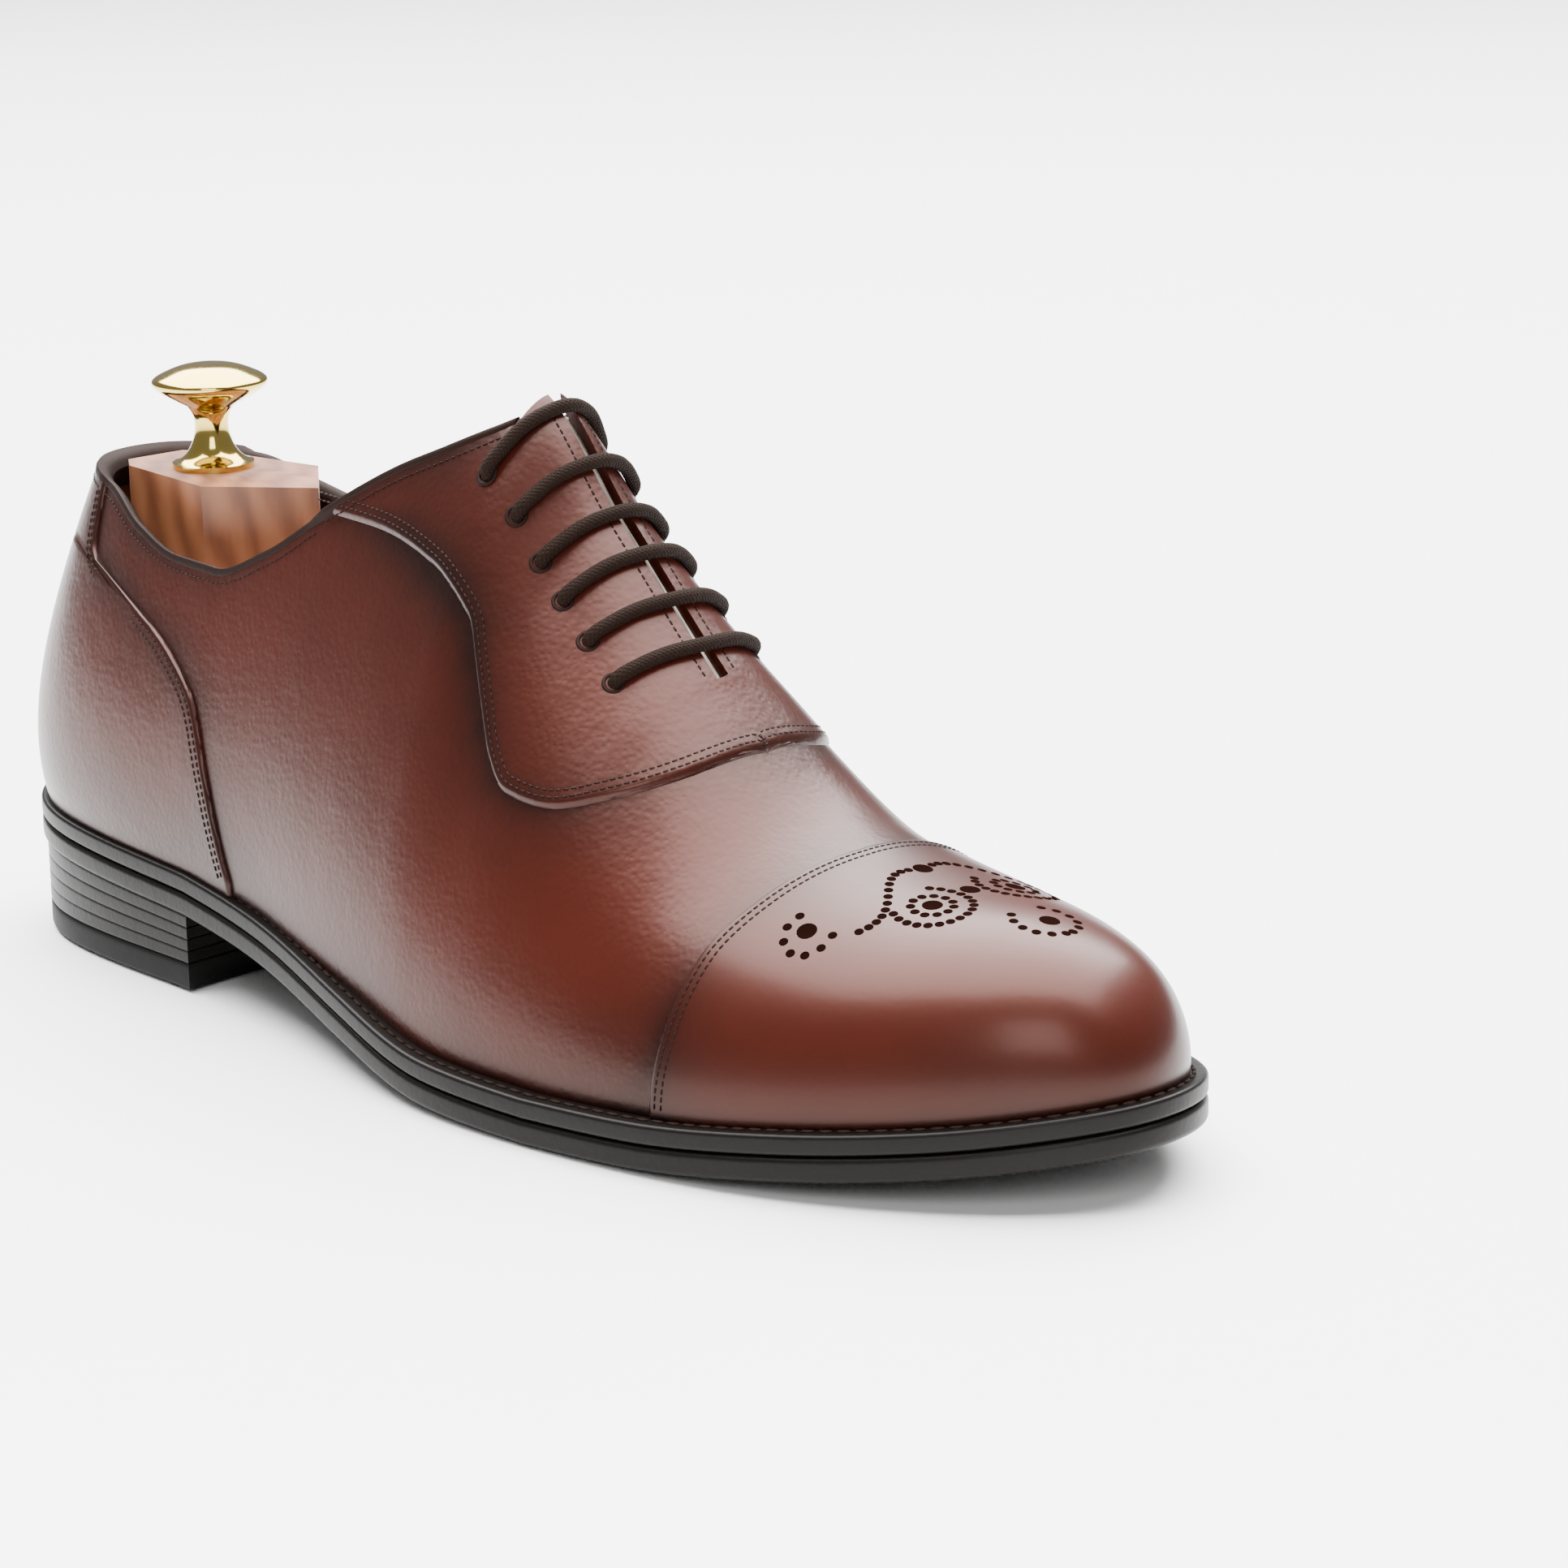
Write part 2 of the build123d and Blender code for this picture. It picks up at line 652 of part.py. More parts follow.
with BuildPart() as vamp_quarters:
    add(base_leather)
    add(collar_cut, mode=Mode.SUBTRACT)
    add(slit(), mode=Mode.SUBTRACT)
    add(eyelet_cutters(), mode=Mode.SUBTRACT)
save(vamp_quarters.part, "vamp_quarters")

with BuildPart() as toe_cap:
    add(overlay_leather)
    add(cap_region(), mode=Mode.INTERSECT)
save(toe_cap.part, "toe_cap")

with BuildPart() as lace_facing:
    add(overlay_leather)
    add(facing_region(), mode=Mode.INTERSECT)
    add(collar_cut, mode=Mode.SUBTRACT)
    add(slit(), mode=Mode.SUBTRACT)
    add(eyelet_cutters(), mode=Mode.SUBTRACT)
save(lace_facing.part, "lace_facing")

with BuildPart() as heel_cover:
    add(overlay_leather)
    add(heel_cover_region(), mode=Mode.INTERSECT)
    add(collar_cut, mode=Mode.SUBTRACT)
save(heel_cover.part, "heel_cover")

with BuildPart() as toe_puff:
    add(middle_leather)
    add(slab(PUFF_START, DRAWN_LENGTH + 10), mode=Mode.INTERSECT)
save(toe_puff.part, "toe_puff")

with BuildPart() as heel_stiffener:
    add(middle_leather)
    add(slab(-20, STIFFENER_END), mode=Mode.INTERSECT)
    add(above_topline(8.0), mode=Mode.SUBTRACT)
save(heel_stiffener.part, "heel_stiffener")

with BuildPart() as collar_tape:
    add(middle_leather)
    add(slab(-20, STIFFENER_END), mode=Mode.INTERSECT)
    add(above_topline(8.0), mode=Mode.INTERSECT)
    add(collar_cut, mode=Mode.SUBTRACT)
save(collar_tape.part, "collar_tape")

for side, low_y, high_y in (("outer", -FAR, across(1.5)), ("inner", across(1.5), FAR)):
    with BuildPart() as quarter_doubler:
        add(middle_leather)
        add(slab(STIFFENER_END, PUFF_START, low_y, high_y), mode=Mode.INTERSECT)
        add(collar_cut, mode=Mode.SUBTRACT)
        add(slit(), mode=Mode.SUBTRACT)
        add(eyelet_cutters(), mode=Mode.SUBTRACT)
    save(quarter_doubler.part, f"quarter_doubler_{side}")

with BuildPart() as quarter_lining:
    add(lining_leather)
    add(slab(-20, LINING_SEAM), mode=Mode.INTERSECT)
    add(collar_cut, mode=Mode.SUBTRACT)
    add(slit(), mode=Mode.SUBTRACT)
    add(eyelet_cutters(), mode=Mode.SUBTRACT)
save(quarter_lining.part, "quarter_lining")

with BuildPart() as vamp_lining:
    add(lining_leather)
    add(slab(LINING_SEAM, DRAWN_LENGTH + 10), mode=Mode.INTERSECT)
    add(slit(), mode=Mode.SUBTRACT)
    add(eyelet_cutters(), mode=Mode.SUBTRACT)
save(vamp_lining.part, "vamp_lining")

with BuildPart() as topline_binding:
    add(shell(LINED_DEPTH, LINED_DEPTH + BINDING_THICKNESS))
    add(above_topline(BINDING_WIDTH), mode=Mode.INTERSECT)
    add(collar_cut, mode=Mode.SUBTRACT)
    add(slab(-20, SLIT_START - 4), mode=Mode.INTERSECT)
save(topline_binding.part, "topline_binding")

with BuildPart() as insole:
    add(form(LINED_DEPTH))
    add(band(SOLE_THICKNESS, SOLE_THICKNESS + INSOLE_THICKNESS), mode=Mode.INTERSECT)
save(insole.part, "insole")

SOCK_INSET = 1.0
with BuildPart() as sock_lining:
    add(form(LINED_DEPTH + SOCK_INSET))
    sock_base = SOLE_THICKNESS + INSOLE_THICKNESS
    add(band(sock_base, sock_base + SOCK_THICKNESS), mode=Mode.INTERSECT)
save(sock_lining.part, "sock_lining")

TONGUE_SIDE = 20.0
with BuildPart() as tongue:
    add(shell(TONGUE_DEPTH, TONGUE_DEPTH + TONGUE_THICKNESS))
    tongue_middle = across(2.0)
    tongue_limits = (tongue_middle - TONGUE_SIDE, tongue_middle + TONGUE_SIDE, 45)
    add(slab(TONGUE_BACK, TONGUE_FRONT, *tongue_limits), mode=Mode.INTERSECT)
save(tongue.part, "tongue")

with BuildPart() as tongue_root:
    add(shell(LINED_DEPTH, TONGUE_DEPTH))
    add(slab(TONGUE_FRONT - 8, TONGUE_FRONT, *tongue_limits), mode=Mode.INTERSECT)
save(tongue_root.part, "tongue_root")

# ---------------------------------------------------------------- lace
route = lace_route()
lace, lace_length, lace_radii = cord_tube(route, LACE_DIAMETER)
save(lace.part, "lace")
print("lace length", round(lace_length, 1), "volume", round(lace.part.volume, 1))
print("section times length", round(math.pi * LACE_DIAMETER ** 2 / 4 * lace_length, 1))
print("lace radii", [round(r, 1) for r in lace_radii])


def aglet(end, before):
    """Tip that grips the last of the lace and runs on past it."""
    direction = (end - before).normalized()
    with BuildPart() as body:
        with BuildSketch(Plane(origin=end, z_dir=direction)):
            Circle(LACE_DIAMETER / 2)
        extrude(amount=AGLET_LENGTH, taper=1.5)
    return body.part


for name, end, before in (("aglet_upper", route[0], route[1]), ("aglet_lower", route[-1], route[-2])):
    save(aglet(end, before), name)

# ---------------------------------------------------------------- shoe tree
TREE_FLOOR = SOLE_THICKNESS + INSOLE_THICKNESS + SOCK_THICKNESS + TREE_CLEARANCE
TUBE_START = 112.0
TUBE_END = 206.0
CROSS_PIN_STATION = 194.0
ROD_END = 166.0
ROD_DIAMETER = TUBE_DIAMETER - 2 * TUBE_WALL - 2 * ROD_CLEARANCE
KNOB_STATION = 44.5
SHOULDER_LEVEL = 78.0
AXIS_Y = across(1.0)


def tree_form(depth):
    with BuildPart() as body:
        add(form(depth))
        add(band(-FAR, TREE_FLOOR), mode=Mode.SUBTRACT)
    return body.part


def axis_cylinder(start, finish, diameter):
    """Cylinder along the tree's sliding axis between two stations."""
    plane = Plane.YZ.offset(along(start))
    with BuildPart() as body:
        with BuildSketch(plane):
            with Locations((AXIS_Y, TREE_AXIS_HEIGHT)):
                Circle(diameter / 2)
        extrude(amount=along(finish) - along(start))
    return body.part


def block_top_outline():
    """Plan of the heel block's faceted top."""
    corners = [(24, -7), (30, -11), (60.5, -15), (80, 0), (60.5, 15), (30, 11), (24, 7)]
    return [(along(x), across(y)) for x, y in corners]


def knob_screw_solid():
    with BuildPart() as body:
        with BuildSketch(Plane.XY.offset(TREE_TOP_HEIGHT - KNOB_SCREW_LENGTH)):
            with Locations((along(KNOB_STATION), across(0))):
                Circle(KNOB_SCREW_DIAMETER / 2)
        extrude(amount=KNOB_SCREW_LENGTH)
    return body.part


with BuildPart() as tree_heel_block:
    cavity = tree_form(TREE_DEPTH)
    add(cavity)
    add(cavity.moved(Location((-TREE_TRAVEL, 0, 0))), mode=Mode.INTERSECT)
    add(slab(-20, BLOCK_LENGTH, high_z=TREE_TOP_HEIGHT), mode=Mode.INTERSECT)
    with BuildPart(mode=Mode.PRIVATE) as shoulder:
        add(slab(-20, BLOCK_LENGTH, low_z=SHOULDER_LEVEL, high_z=TREE_TOP_HEIGHT))
        with BuildSketch(Plane.XY.offset(SHOULDER_LEVEL)):
            with BuildLine():
                Polyline(*block_top_outline(), close=True)
            make_face()
        extrude(amount=TREE_TOP_HEIGHT - SHOULDER_LEVEL, mode=Mode.SUBTRACT)
    add(shoulder.part, mode=Mode.SUBTRACT)
    add(knob_screw_solid(), mode=Mode.SUBTRACT)
    add(axis_cylinder(BLOCK_LENGTH - ROD_GRIP, BLOCK_LENGTH + 5, ROD_DIAMETER), mode=Mode.SUBTRACT)
save(tree_heel_block.part, "tree_heel_block")

with BuildPart() as tree_knob:
    knob_foot = (along(KNOB_STATION), across(0), TREE_TOP_HEIGHT)
    with BuildSketch(Plane(origin=knob_foot, x_dir=(1, 0, 0), z_dir=(0, -1, 0))):
        with BuildLine():
            flange, neck, disc = KNOB_FLANGE_DIAMETER / 2, KNOB_NECK_DIAMETER / 2, KNOB_DIAMETER / 2
            Polyline((0, KNOB_HEIGHT), (0, 0), (flange, 0), (flange, 1.2))
            Spline((flange, 1.2), (flange - 2.6, 2.6), (neck + 0.6, 5.6), (neck, 8.8),
                   (neck + 0.8, 12.0), (neck + 2.0, 13.2))
            Spline((neck + 2.0, 13.2), (disc - 3.2, 15.0), (disc, 18.2), (disc - 2.6, 20.0),
                   (disc * 0.45, KNOB_HEIGHT - 0.4), (0, KNOB_HEIGHT))
        make_face()
    revolve(axis=Axis(knob_foot, (0, 0, 1)))
save(tree_knob.part, "tree_knob")
save(knob_screw_solid(), "tree_knob_screw")

with BuildPart() as tree_rod:
    add(axis_cylinder(BLOCK_LENGTH - ROD_GRIP, ROD_END, ROD_DIAMETER))
save(tree_rod.part, "tree_rod")

with BuildPart() as tree_tube:
    add(axis_cylinder(TUBE_START, TUBE_END, TUBE_DIAMETER))
    add(axis_cylinder(TUBE_START, TUBE_END - 4, TUBE_DIAMETER - 2 * TUBE_WALL), mode=Mode.SUBTRACT)
    with BuildSketch(Plane.XZ.offset(-FAR / 2)):
        with Locations((along(CROSS_PIN_STATION), TREE_AXIS_HEIGHT)):
            Circle(CROSS_PIN_DIAMETER / 2)
    extrude(amount=FAR, mode=Mode.SUBTRACT)
save(tree_tube.part, "tree_tube")

SPRING_START = ROD_END + TREE_TRAVEL + 1
SPRING_END = CROSS_PIN_STATION - CROSS_PIN_DIAMETER / 2 - 1
SPRING_TURNS = 6
with BuildPart() as tree_spring:
    spring_length = along(SPRING_END) - along(SPRING_START)
    spring_radius = ROD_DIAMETER / 2 - SPRING_WIRE
    centre = (along(SPRING_START), AXIS_Y, TREE_AXIS_HEIGHT)
    with BuildLine() as coil:
        Helix(pitch=spring_length / SPRING_TURNS, height=spring_length, radius=spring_radius,
              center=centre, direction=(1, 0, 0))
    with BuildSketch(Plane(origin=coil.line @ 0, z_dir=coil.line % 0)):
        Circle(SPRING_WIRE / 2)
    sweep(is_frenet=True)
save(tree_spring.part, "tree_spring")

with BuildPart() as tree_cross_pin:
    with BuildSketch(Plane.XZ.offset(-AXIS_Y - 15)):
        with Locations((along(CROSS_PIN_STATION), TREE_AXIS_HEIGHT)):
            Circle(CROSS_PIN_DIAMETER / 2)
    extrude(amount=30)
save(tree_cross_pin.part, "tree_cross_pin")

toe_sides = (("outer", -FAR, AXIS_Y - TOE_SAW_CUT / 2), ("inner", AXIS_Y + TOE_SAW_CUT / 2, FAR))
for side, low_y, high_y in toe_sides:
    with BuildPart() as tree_toe:
        add(tree_form(TOE_DEPTH))
        add(slab(TOE_BLOCK_START, TOE_BLOCK_END, low_y, high_y), mode=Mode.INTERSECT)
        add(axis_cylinder(TOE_BLOCK_START - 5, TUBE_END + 1, TUBE_DIAMETER), mode=Mode.SUBTRACT)
        add(tree_cross_pin.part, mode=Mode.SUBTRACT)
    save(tree_toe.part, f"tree_toe_{side}")
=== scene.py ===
"""A right-foot cap-toe oxford shoe with a cedar shoe tree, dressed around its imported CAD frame.

Everything is in metres in the frame's own axes: +X to the toe, +Y to the inner side, +Z up.
Shapes are worked out in millimetres from the last's form and scaled once, when a mesh is made.
"""

import json
import logging
import math
from dataclasses import dataclass, field
from enum import Enum
from typing import Callable, Sequence

import bmesh
import bpy
import numpy as np
from mathutils import Matrix, Vector


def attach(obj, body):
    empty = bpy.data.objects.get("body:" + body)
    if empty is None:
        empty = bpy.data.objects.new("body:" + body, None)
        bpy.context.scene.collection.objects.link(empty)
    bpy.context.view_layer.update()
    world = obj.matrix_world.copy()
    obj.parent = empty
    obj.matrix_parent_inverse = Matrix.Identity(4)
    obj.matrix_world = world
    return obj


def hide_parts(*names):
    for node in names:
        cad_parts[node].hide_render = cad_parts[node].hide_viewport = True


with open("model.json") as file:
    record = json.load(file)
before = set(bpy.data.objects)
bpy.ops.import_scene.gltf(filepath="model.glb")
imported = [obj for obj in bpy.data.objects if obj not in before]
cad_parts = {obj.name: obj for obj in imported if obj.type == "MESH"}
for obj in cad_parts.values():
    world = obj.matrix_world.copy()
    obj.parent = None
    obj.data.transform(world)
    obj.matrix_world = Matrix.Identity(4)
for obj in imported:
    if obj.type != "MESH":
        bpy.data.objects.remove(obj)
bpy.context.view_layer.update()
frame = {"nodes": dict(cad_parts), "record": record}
LOG = logging.getLogger("oxford")
MM = 0.001
SHOE = "shoe"
TREE_HEEL = "tree_heel"
OUTLINE_STEPS = 1440
FOOT_SAMPLES = 3000
HALVINGS = 28
Table = Sequence[tuple[float, float]]
Array = np.ndarray


class Side(Enum):
    """The two walls of the shoe."""

    OUTER = -1
    INNER = 1


class Finish(Enum):
    """Record slots that the dressed pieces take their finish from."""

    UPPER = "upper_leather"
    SOLE = "sole_leather"
    RUBBER = "rubber"
    LINING = "lining_leather"
    BINDING = "binding_leather"
    LACE = "lace_cotton"


def graded(table: Table, station: Array) -> Array:
    """Smooth value through a table without overshoot.

    Args:
        table: Rows of station and value.
        station: Where the value is wanted.

    Returns:
        The values, held constant past both ends.
    """
    x, y = np.array(table, float).T
    here = np.clip(station, x[0], x[-1])
    k = np.clip(np.searchsorted(x, here, side="right") - 1, 0, len(x) - 2)
    secant = np.diff(y) / np.diff(x)
    before, after = secant[:-1], secant[1:]
    product = before * after
    total = np.where(np.abs(before + after) < 1e-12, 1.0, before + after)
    slope = np.r_[secant[0], np.where(product > 0, 2 * product / total, 0.0), secant[-1]]
    width = x[k + 1] - x[k]
    s = (here - x[k]) / width
    rise = y[k] * (1 + 2 * s) * (1 - s) ** 2 + y[k + 1] * s * s * (3 - 2 * s)
    return rise + width * (slope[k] * s * (1 - s) ** 2 + slope[k + 1] * s * s * (s - 1))


def periodic_spline(points: Sequence[tuple[float, float]], count: int) -> tuple[Array, Array]:
    """Closed cubic through points, at even arc lengths.

    Args:
        points: The points that the curve passes through.
        count: Number of even steps round it.

    Returns:
        Positions and unit tangents, count + 1 of each.
    """
    p = np.array(list(points) + [points[0]], float)
    d = np.r_[0, np.cumsum(np.hypot(*np.diff(p, axis=0).T))]
    h, n = np.diff(d), len(p) - 1
    a, rhs = np.zeros((n, n)), np.zeros((n, 2))
    for i in range(n):
        a[i, i - 1], a[i, i], a[i, (i + 1) % n] = h[i - 1], 2 * (h[i - 1] + h[i]), h[i]
        rhs[i] = 6 * ((p[i + 1] - p[i]) / h[i] - (p[i] - p[i - 1 if i else n - 1]) / h[i - 1])
    m = np.linalg.solve(a, rhs)
    m = np.vstack([m, m[:1]])
    s = np.linspace(0, d[-1], 4 * count + 1)
    k = np.clip(np.searchsorted(d, s, side="right") - 1, 0, n - 1)
    t, hk = (s - d[k])[:, None], h[k][:, None]
    rest = hk - t
    curve = (m[k] * rest ** 3 + m[k + 1] * t ** 3) / (6 * hk)
    curve += (p[k] / hk - m[k] * hk / 6) * rest + (p[k + 1] / hk - m[k + 1] * hk / 6) * t
    arc = np.r_[0, np.cumsum(np.hypot(*np.diff(curve, axis=0).T))]
    even = np.linspace(0, arc[-1], count + 1)
    out = np.stack([np.interp(even, arc, curve[:, c]) for c in (0, 1)], -1)
    out[-1] = out[0]
    tangent = np.roll(out[:-1], -1, 0) - np.roll(out[:-1], 1, 0)
    tangent = np.vstack([tangent, tangent[:1]])
    return out, tangent / np.hypot(*tangent.T)[:, None]


def bisect(test: Callable[[Array], Array], low: Array, high: Array) -> Array:
    """Arguments at which a test turns from false to true."""
    for _ in range(HALVINGS):
        middle = (low + high) / 2
        hit = test(middle)
        low, high = np.where(hit, low, middle), np.where(hit, middle, high)
    return (low + high) / 2


@dataclass
class Last:
    """The shoe's form: sole outline, ridge and sections, at the same sizes as the CAD model."""

    length: float = 306.0
    middle: float = -0.6
    heel_height: float = 20.5
    toe_spring: float = 10.5
    instep: float = 113.4
    sole: float = 9.0
    heel_length: float = 78.0
    sink: float = 1.2
    waist_end: float = 200.0
    slit_from: float = 60.0
    steepest: float = 1.2
    outer_edge: Table = (
        (0, 0), (5, -18), (18, -29.5), (40, -35.5), (75, -37.5), (110, -41.2), (145, -49),
        (175, -53.2), (205, -51.8), (232, -47.4), (256, -40), (278, -28.5), (297, -13), (305, 0))
    inner_edge: Table = (
        (306, 6), (302.5, 20), (291, 32), (272, 42.5), (250, 49.5), (228, 52), (205, 50.5),
        (180, 45), (155, 37), (130, 31.5), (105, 31), (75, 34), (40, 34.5), (18, 29), (5, 18))
    arch: Table = ((78, 0.78), (105, 0.61), (140, 0.317), (172, 0.05), (200, 0.0))
    toe: Table = ((200, 0.0), (225, 0.05), (255, 0.29), (280, 0.57), (306, 1.0))
    ridge: Table = (
        (0, 0.873), (20, 0.919), (60, 0.968), (100, 1.0), (130, 1.01), (151, 1.0), (172, 0.828),
        (194, 0.63), (224, 0.393), (252, 0.309), (275, 0.272), (290, 0.244), (303, 0.19))
    ridge_side: Table = ((0, 0), (110, 0), (150, 1), (200, 2.5), (250, 4.5), (306, 6.5))
    ridge_station: Table = (
        (0, 40), (8, 41), (30, 48), (60, 66), (95, 96), (215, 215), (255, 246), (280, 257),
        (295, 261), (306, 262))
    feather: Table = ((0, 3), (80, 2.6), (110, 2.6), (150, 4), (200, 4.8), (260, 4.8), (306, 4.4))
    low_bulge: Table = (
        (20, 0.233), (50, 0.215), (90, 0.13), (130, 0.067), (160, 0.041), (285, 0.057))
    low_height: Table = (
        (20, 0.26), (90, 0.26), (130, 0.22), (160, 0.22), (195, 0.3), (285, 0.5))
    shoulder: Table = (
        (20, 0.70), (50, 0.74), (90, 0.737), (130, 0.68), (160, 0.65), (195, 0.72),
        (225, 0.78), (255, 0.87), (285, 0.964))
    shoulder_height: Table = (
        (20, 0.508), (90, 0.617), (160, 0.717), (195, 0.796), (255, 0.871), (285, 0.94))
    crown: Table = (
        (20, 0.332), (130, 0.284), (160, 0.278), (195, 0.357), (255, 0.5), (285, 0.6))
    outer_topline: Table = (
        (-10, 0.62), (16, 0.624), (36, 0.613), (51, 0.567), (66, 0.54), (79, 0.542),
        (95, 0.606), (109, 0.697), (129, 0.824), (141, 0.888), (154, 0.962))
    inner_topline: Table = (
        (-10, 0.62), (16, 0.624), (36, 0.62), (51, 0.59), (66, 0.572), (79, 0.57),
        (95, 0.62), (109, 0.70), (129, 0.83), (141, 0.89), (154, 0.962))
    throat: float = 153.5
    slit_end: float = 198.0
    slit_half: float = 1.5

    def __post_init__(self) -> None:
        """Samples the outline and finds the toe."""
        points, tangent = periodic_spline(self.outer_edge + self.inner_edge, OUTLINE_STEPS)
        self.ring = points
        self.inward = np.stack([-tangent[:, 1], tangent[:, 0]], -1)
        self.toe_share = float(np.argmax(points[:, 0])) / OUTLINE_STEPS
        self.inner_shares = np.linspace(1, self.toe_share, FOOT_SAMPLES)
        self.inner_feet = np.maximum.accumulate(self._foot_x(self.inner_shares))

    def outline(self, u: Array, inset: Array = 0.0) -> Array:
        """Outline point at share u of the way round, moved in by the inset."""
        place = np.mod(u, 1.0) * (len(self.ring) - 1)
        k = np.clip(place.astype(int), 0, len(self.ring) - 2)
        s = (place - k)[..., None]
        point = self.ring[k] * (1 - s) + self.ring[k + 1] * s
        normal = self.inward[k] * (1 - s) + self.inward[k + 1] * s
        return point + normal * np.asarray(inset)[..., None]

    def underside(self, x: Array) -> Array:
        """Height of the outsole's underside at station x."""
        seat = self.heel_height * (1 - (1 - self.arch[0][1]) * x / self.heel_length)
        waist = self.heel_height * graded(self.arch, x)
        front = self.toe_spring * graded(self.toe, x)
        return np.where(x <= self.heel_length, seat, np.where(x <= self.waist_end, waist, front))

    def surface(self, u: Array, t: Array, lift: Array = 0.0) -> Array:
        """Point of the upper, lifted off the leather.

        Args:
            u: Share of the way round the outline from the heel's back.
            t: Height share, 0 at the feather line and 1 at the ridge.
            lift: Distance off the surface, in millimetres.

        Returns:
            Points with stations measured from the back of the heel.
        """
        u, t = np.broadcast_arrays(np.asarray(u, float), np.asarray(t, float))
        reach = graded(self.feather, self.outline(u)[..., 0]) - lift
        foot = self.outline(u, reach)
        crest_x = graded(self.ridge_station, foot[..., 0])
        crest = np.stack([crest_x, graded(self.ridge_side, crest_x)], -1)
        w = [math.comb(4, k) * t ** k * (1 - t) ** (4 - k) for k in range(5)]
        out = w[0] + w[1] * (1 + graded(self.low_bulge, crest_x))
        out = out + w[2] * graded(self.shoulder, crest_x) + w[3] * graded(self.crown, crest_x)
        up = w[1] * graded(self.low_height, crest_x)
        up = up + w[2] * graded(self.shoulder_height, crest_x) + w[3] + w[4]
        flat = crest + (foot - crest) * out[..., None]
        seat = self.underside(foot[..., 0]) + self.sole - self.sink
        ridge = self._ridge(flat[..., 0])
        steep = np.abs(self._ridge(crest_x + 2) - self._ridge(crest_x - 2)) / 4
        ridge = ridge + lift * np.hypot(1, np.minimum(steep, self.steepest))
        return np.concatenate([flat, (seat + (ridge - seat) * up)[..., None]], -1)

    def _ridge(self, x: Array) -> Array:
        """Height of the ridge line at station x."""
        return self.underside(x) + self.sole + self.instep * graded(self.ridge, x)

    def topline(self, x: Array, inner: Array) -> Array:
        """Height of the topline at station x on either wall."""
        share = np.where(inner, graded(self.inner_topline, x), graded(self.outer_topline, x))
        return self.underside(x) + self.sole + self.instep * share

    def top(self, u: Array) -> Array:
        """Level at which each column ends: topline, slit or ridge."""
        u = np.asarray(u, float)

        def outside(t: Array) -> Array:
            p = self.surface(u, t)
            side = p[..., 1] - graded(self.ridge_side, p[..., 0])
            collar = (p[..., 2] > self.topline(p[..., 0], side > 0)) & (p[..., 0] < self.throat)
            slit = (np.abs(side) < self.slit_half) & (p[..., 0] < self.slit_end)
            return collar | slit & (p[..., 0] > self.slit_from)

        level = bisect(outside, np.full_like(u, 0.25), np.ones_like(u))
        return np.where(outside(np.ones_like(u)), level, 1.0)

    def column(self, q: Array, side: Side) -> Array:
        """Outline share of a column; both walls' columns of one q meet at the ridge."""
        outer = np.asarray(q, float) * self.toe_share
        if side is Side.OUTER:
            return outer
        return np.interp(self._foot_x(outer), self.inner_feet, self.inner_shares)

    def _foot_x(self, u: Array) -> Array:
        """Station of a column's foot on the feather line."""
        return self.outline(u, graded(self.feather, self.outline(u)[..., 0]))[..., 0]

    def find(self, x: Array, t: Array, side: Side) -> Array:
        """Column q whose point at level t lies at station x."""
        x, t = np.broadcast_arrays(np.asarray(x, float), np.asarray(t, float))
        test = lambda q: self.surface(self.column(q, side), t)[..., 0] > x
        return bisect(test, np.zeros(x.shape), np.ones(x.shape))

    def jacobian(self, u: Array, t: Array, lift: Array = 0.0) -> tuple[Array, Array, Array]:
        """Point with its derivatives along the outline share and the level."""
        du, dt = 4e-4, 2e-3
        here = self.surface(u, t, lift)
        along = (self.surface(u + du, t, lift) - self.surface(u - du, t, lift)) / (2 * du)
        up = (here - self.surface(u, t - dt, lift)) / dt
        return here, along, up

    def site(self, x: float, t: float, side: Side, lift: float) -> Array:
        """Point off the surface along its own normal, at station x and level t."""
        u = self.column(self.find(x, t, side), side)
        here, along, up = self.jacobian(u, np.asarray(t, float))
        normal = np.cross(along, up)
        normal *= np.sign(normal[..., 2:3]) / np.linalg.norm(normal)
        return here + normal * lift

    def frame_points(self, points: Array) -> Array:
        """Moves points from heel stations into the frame, still in millimetres."""
        return points + np.array([-self.length / 2, -self.middle, 0.0])


LAST = Last()


def make_object(name: str, verts: Array, faces: Sequence[Sequence[int]]) -> bpy.types.Object:
    """Links a new mesh object whose vertices are given in millimetres in the frame."""
    name = name.replace(" ", "_")
    mesh = bpy.data.meshes.new(name)
    mesh.from_pydata((np.asarray(verts) * MM).tolist(), [], faces)
    mesh.update()
    piece = bpy.data.objects.new(name, mesh)
    bpy.context.scene.collection.objects.link(piece)
    return piece


def merge_and_face(piece: bpy.types.Object, gap: float = 0.02) -> None:
    """Merges doubles within a gap in millimetres and turns all faces outwards."""
    work = bmesh.new()
    work.from_mesh(piece.data)
    bmesh.ops.remove_doubles(work, verts=work.verts, dist=gap * MM)
    bmesh.ops.dissolve_degenerate(work, edges=work.edges, dist=gap * MM * 0.25)
    bmesh.ops.recalc_face_normals(work, faces=work.faces)
    work.to_mesh(piece.data)
    work.free()


def smooth(piece: bpy.types.Object, angle: float = 50.0) -> None:
    """Shades a piece smooth, keeping edges sharper than the angle in degrees."""
    bpy.ops.object.select_all(action="DESELECT")
    piece.select_set(True)
    bpy.context.view_layer.objects.active = piece
    bpy.ops.object.shade_smooth_by_angle(angle=math.radians(angle))
    piece.select_set(False)


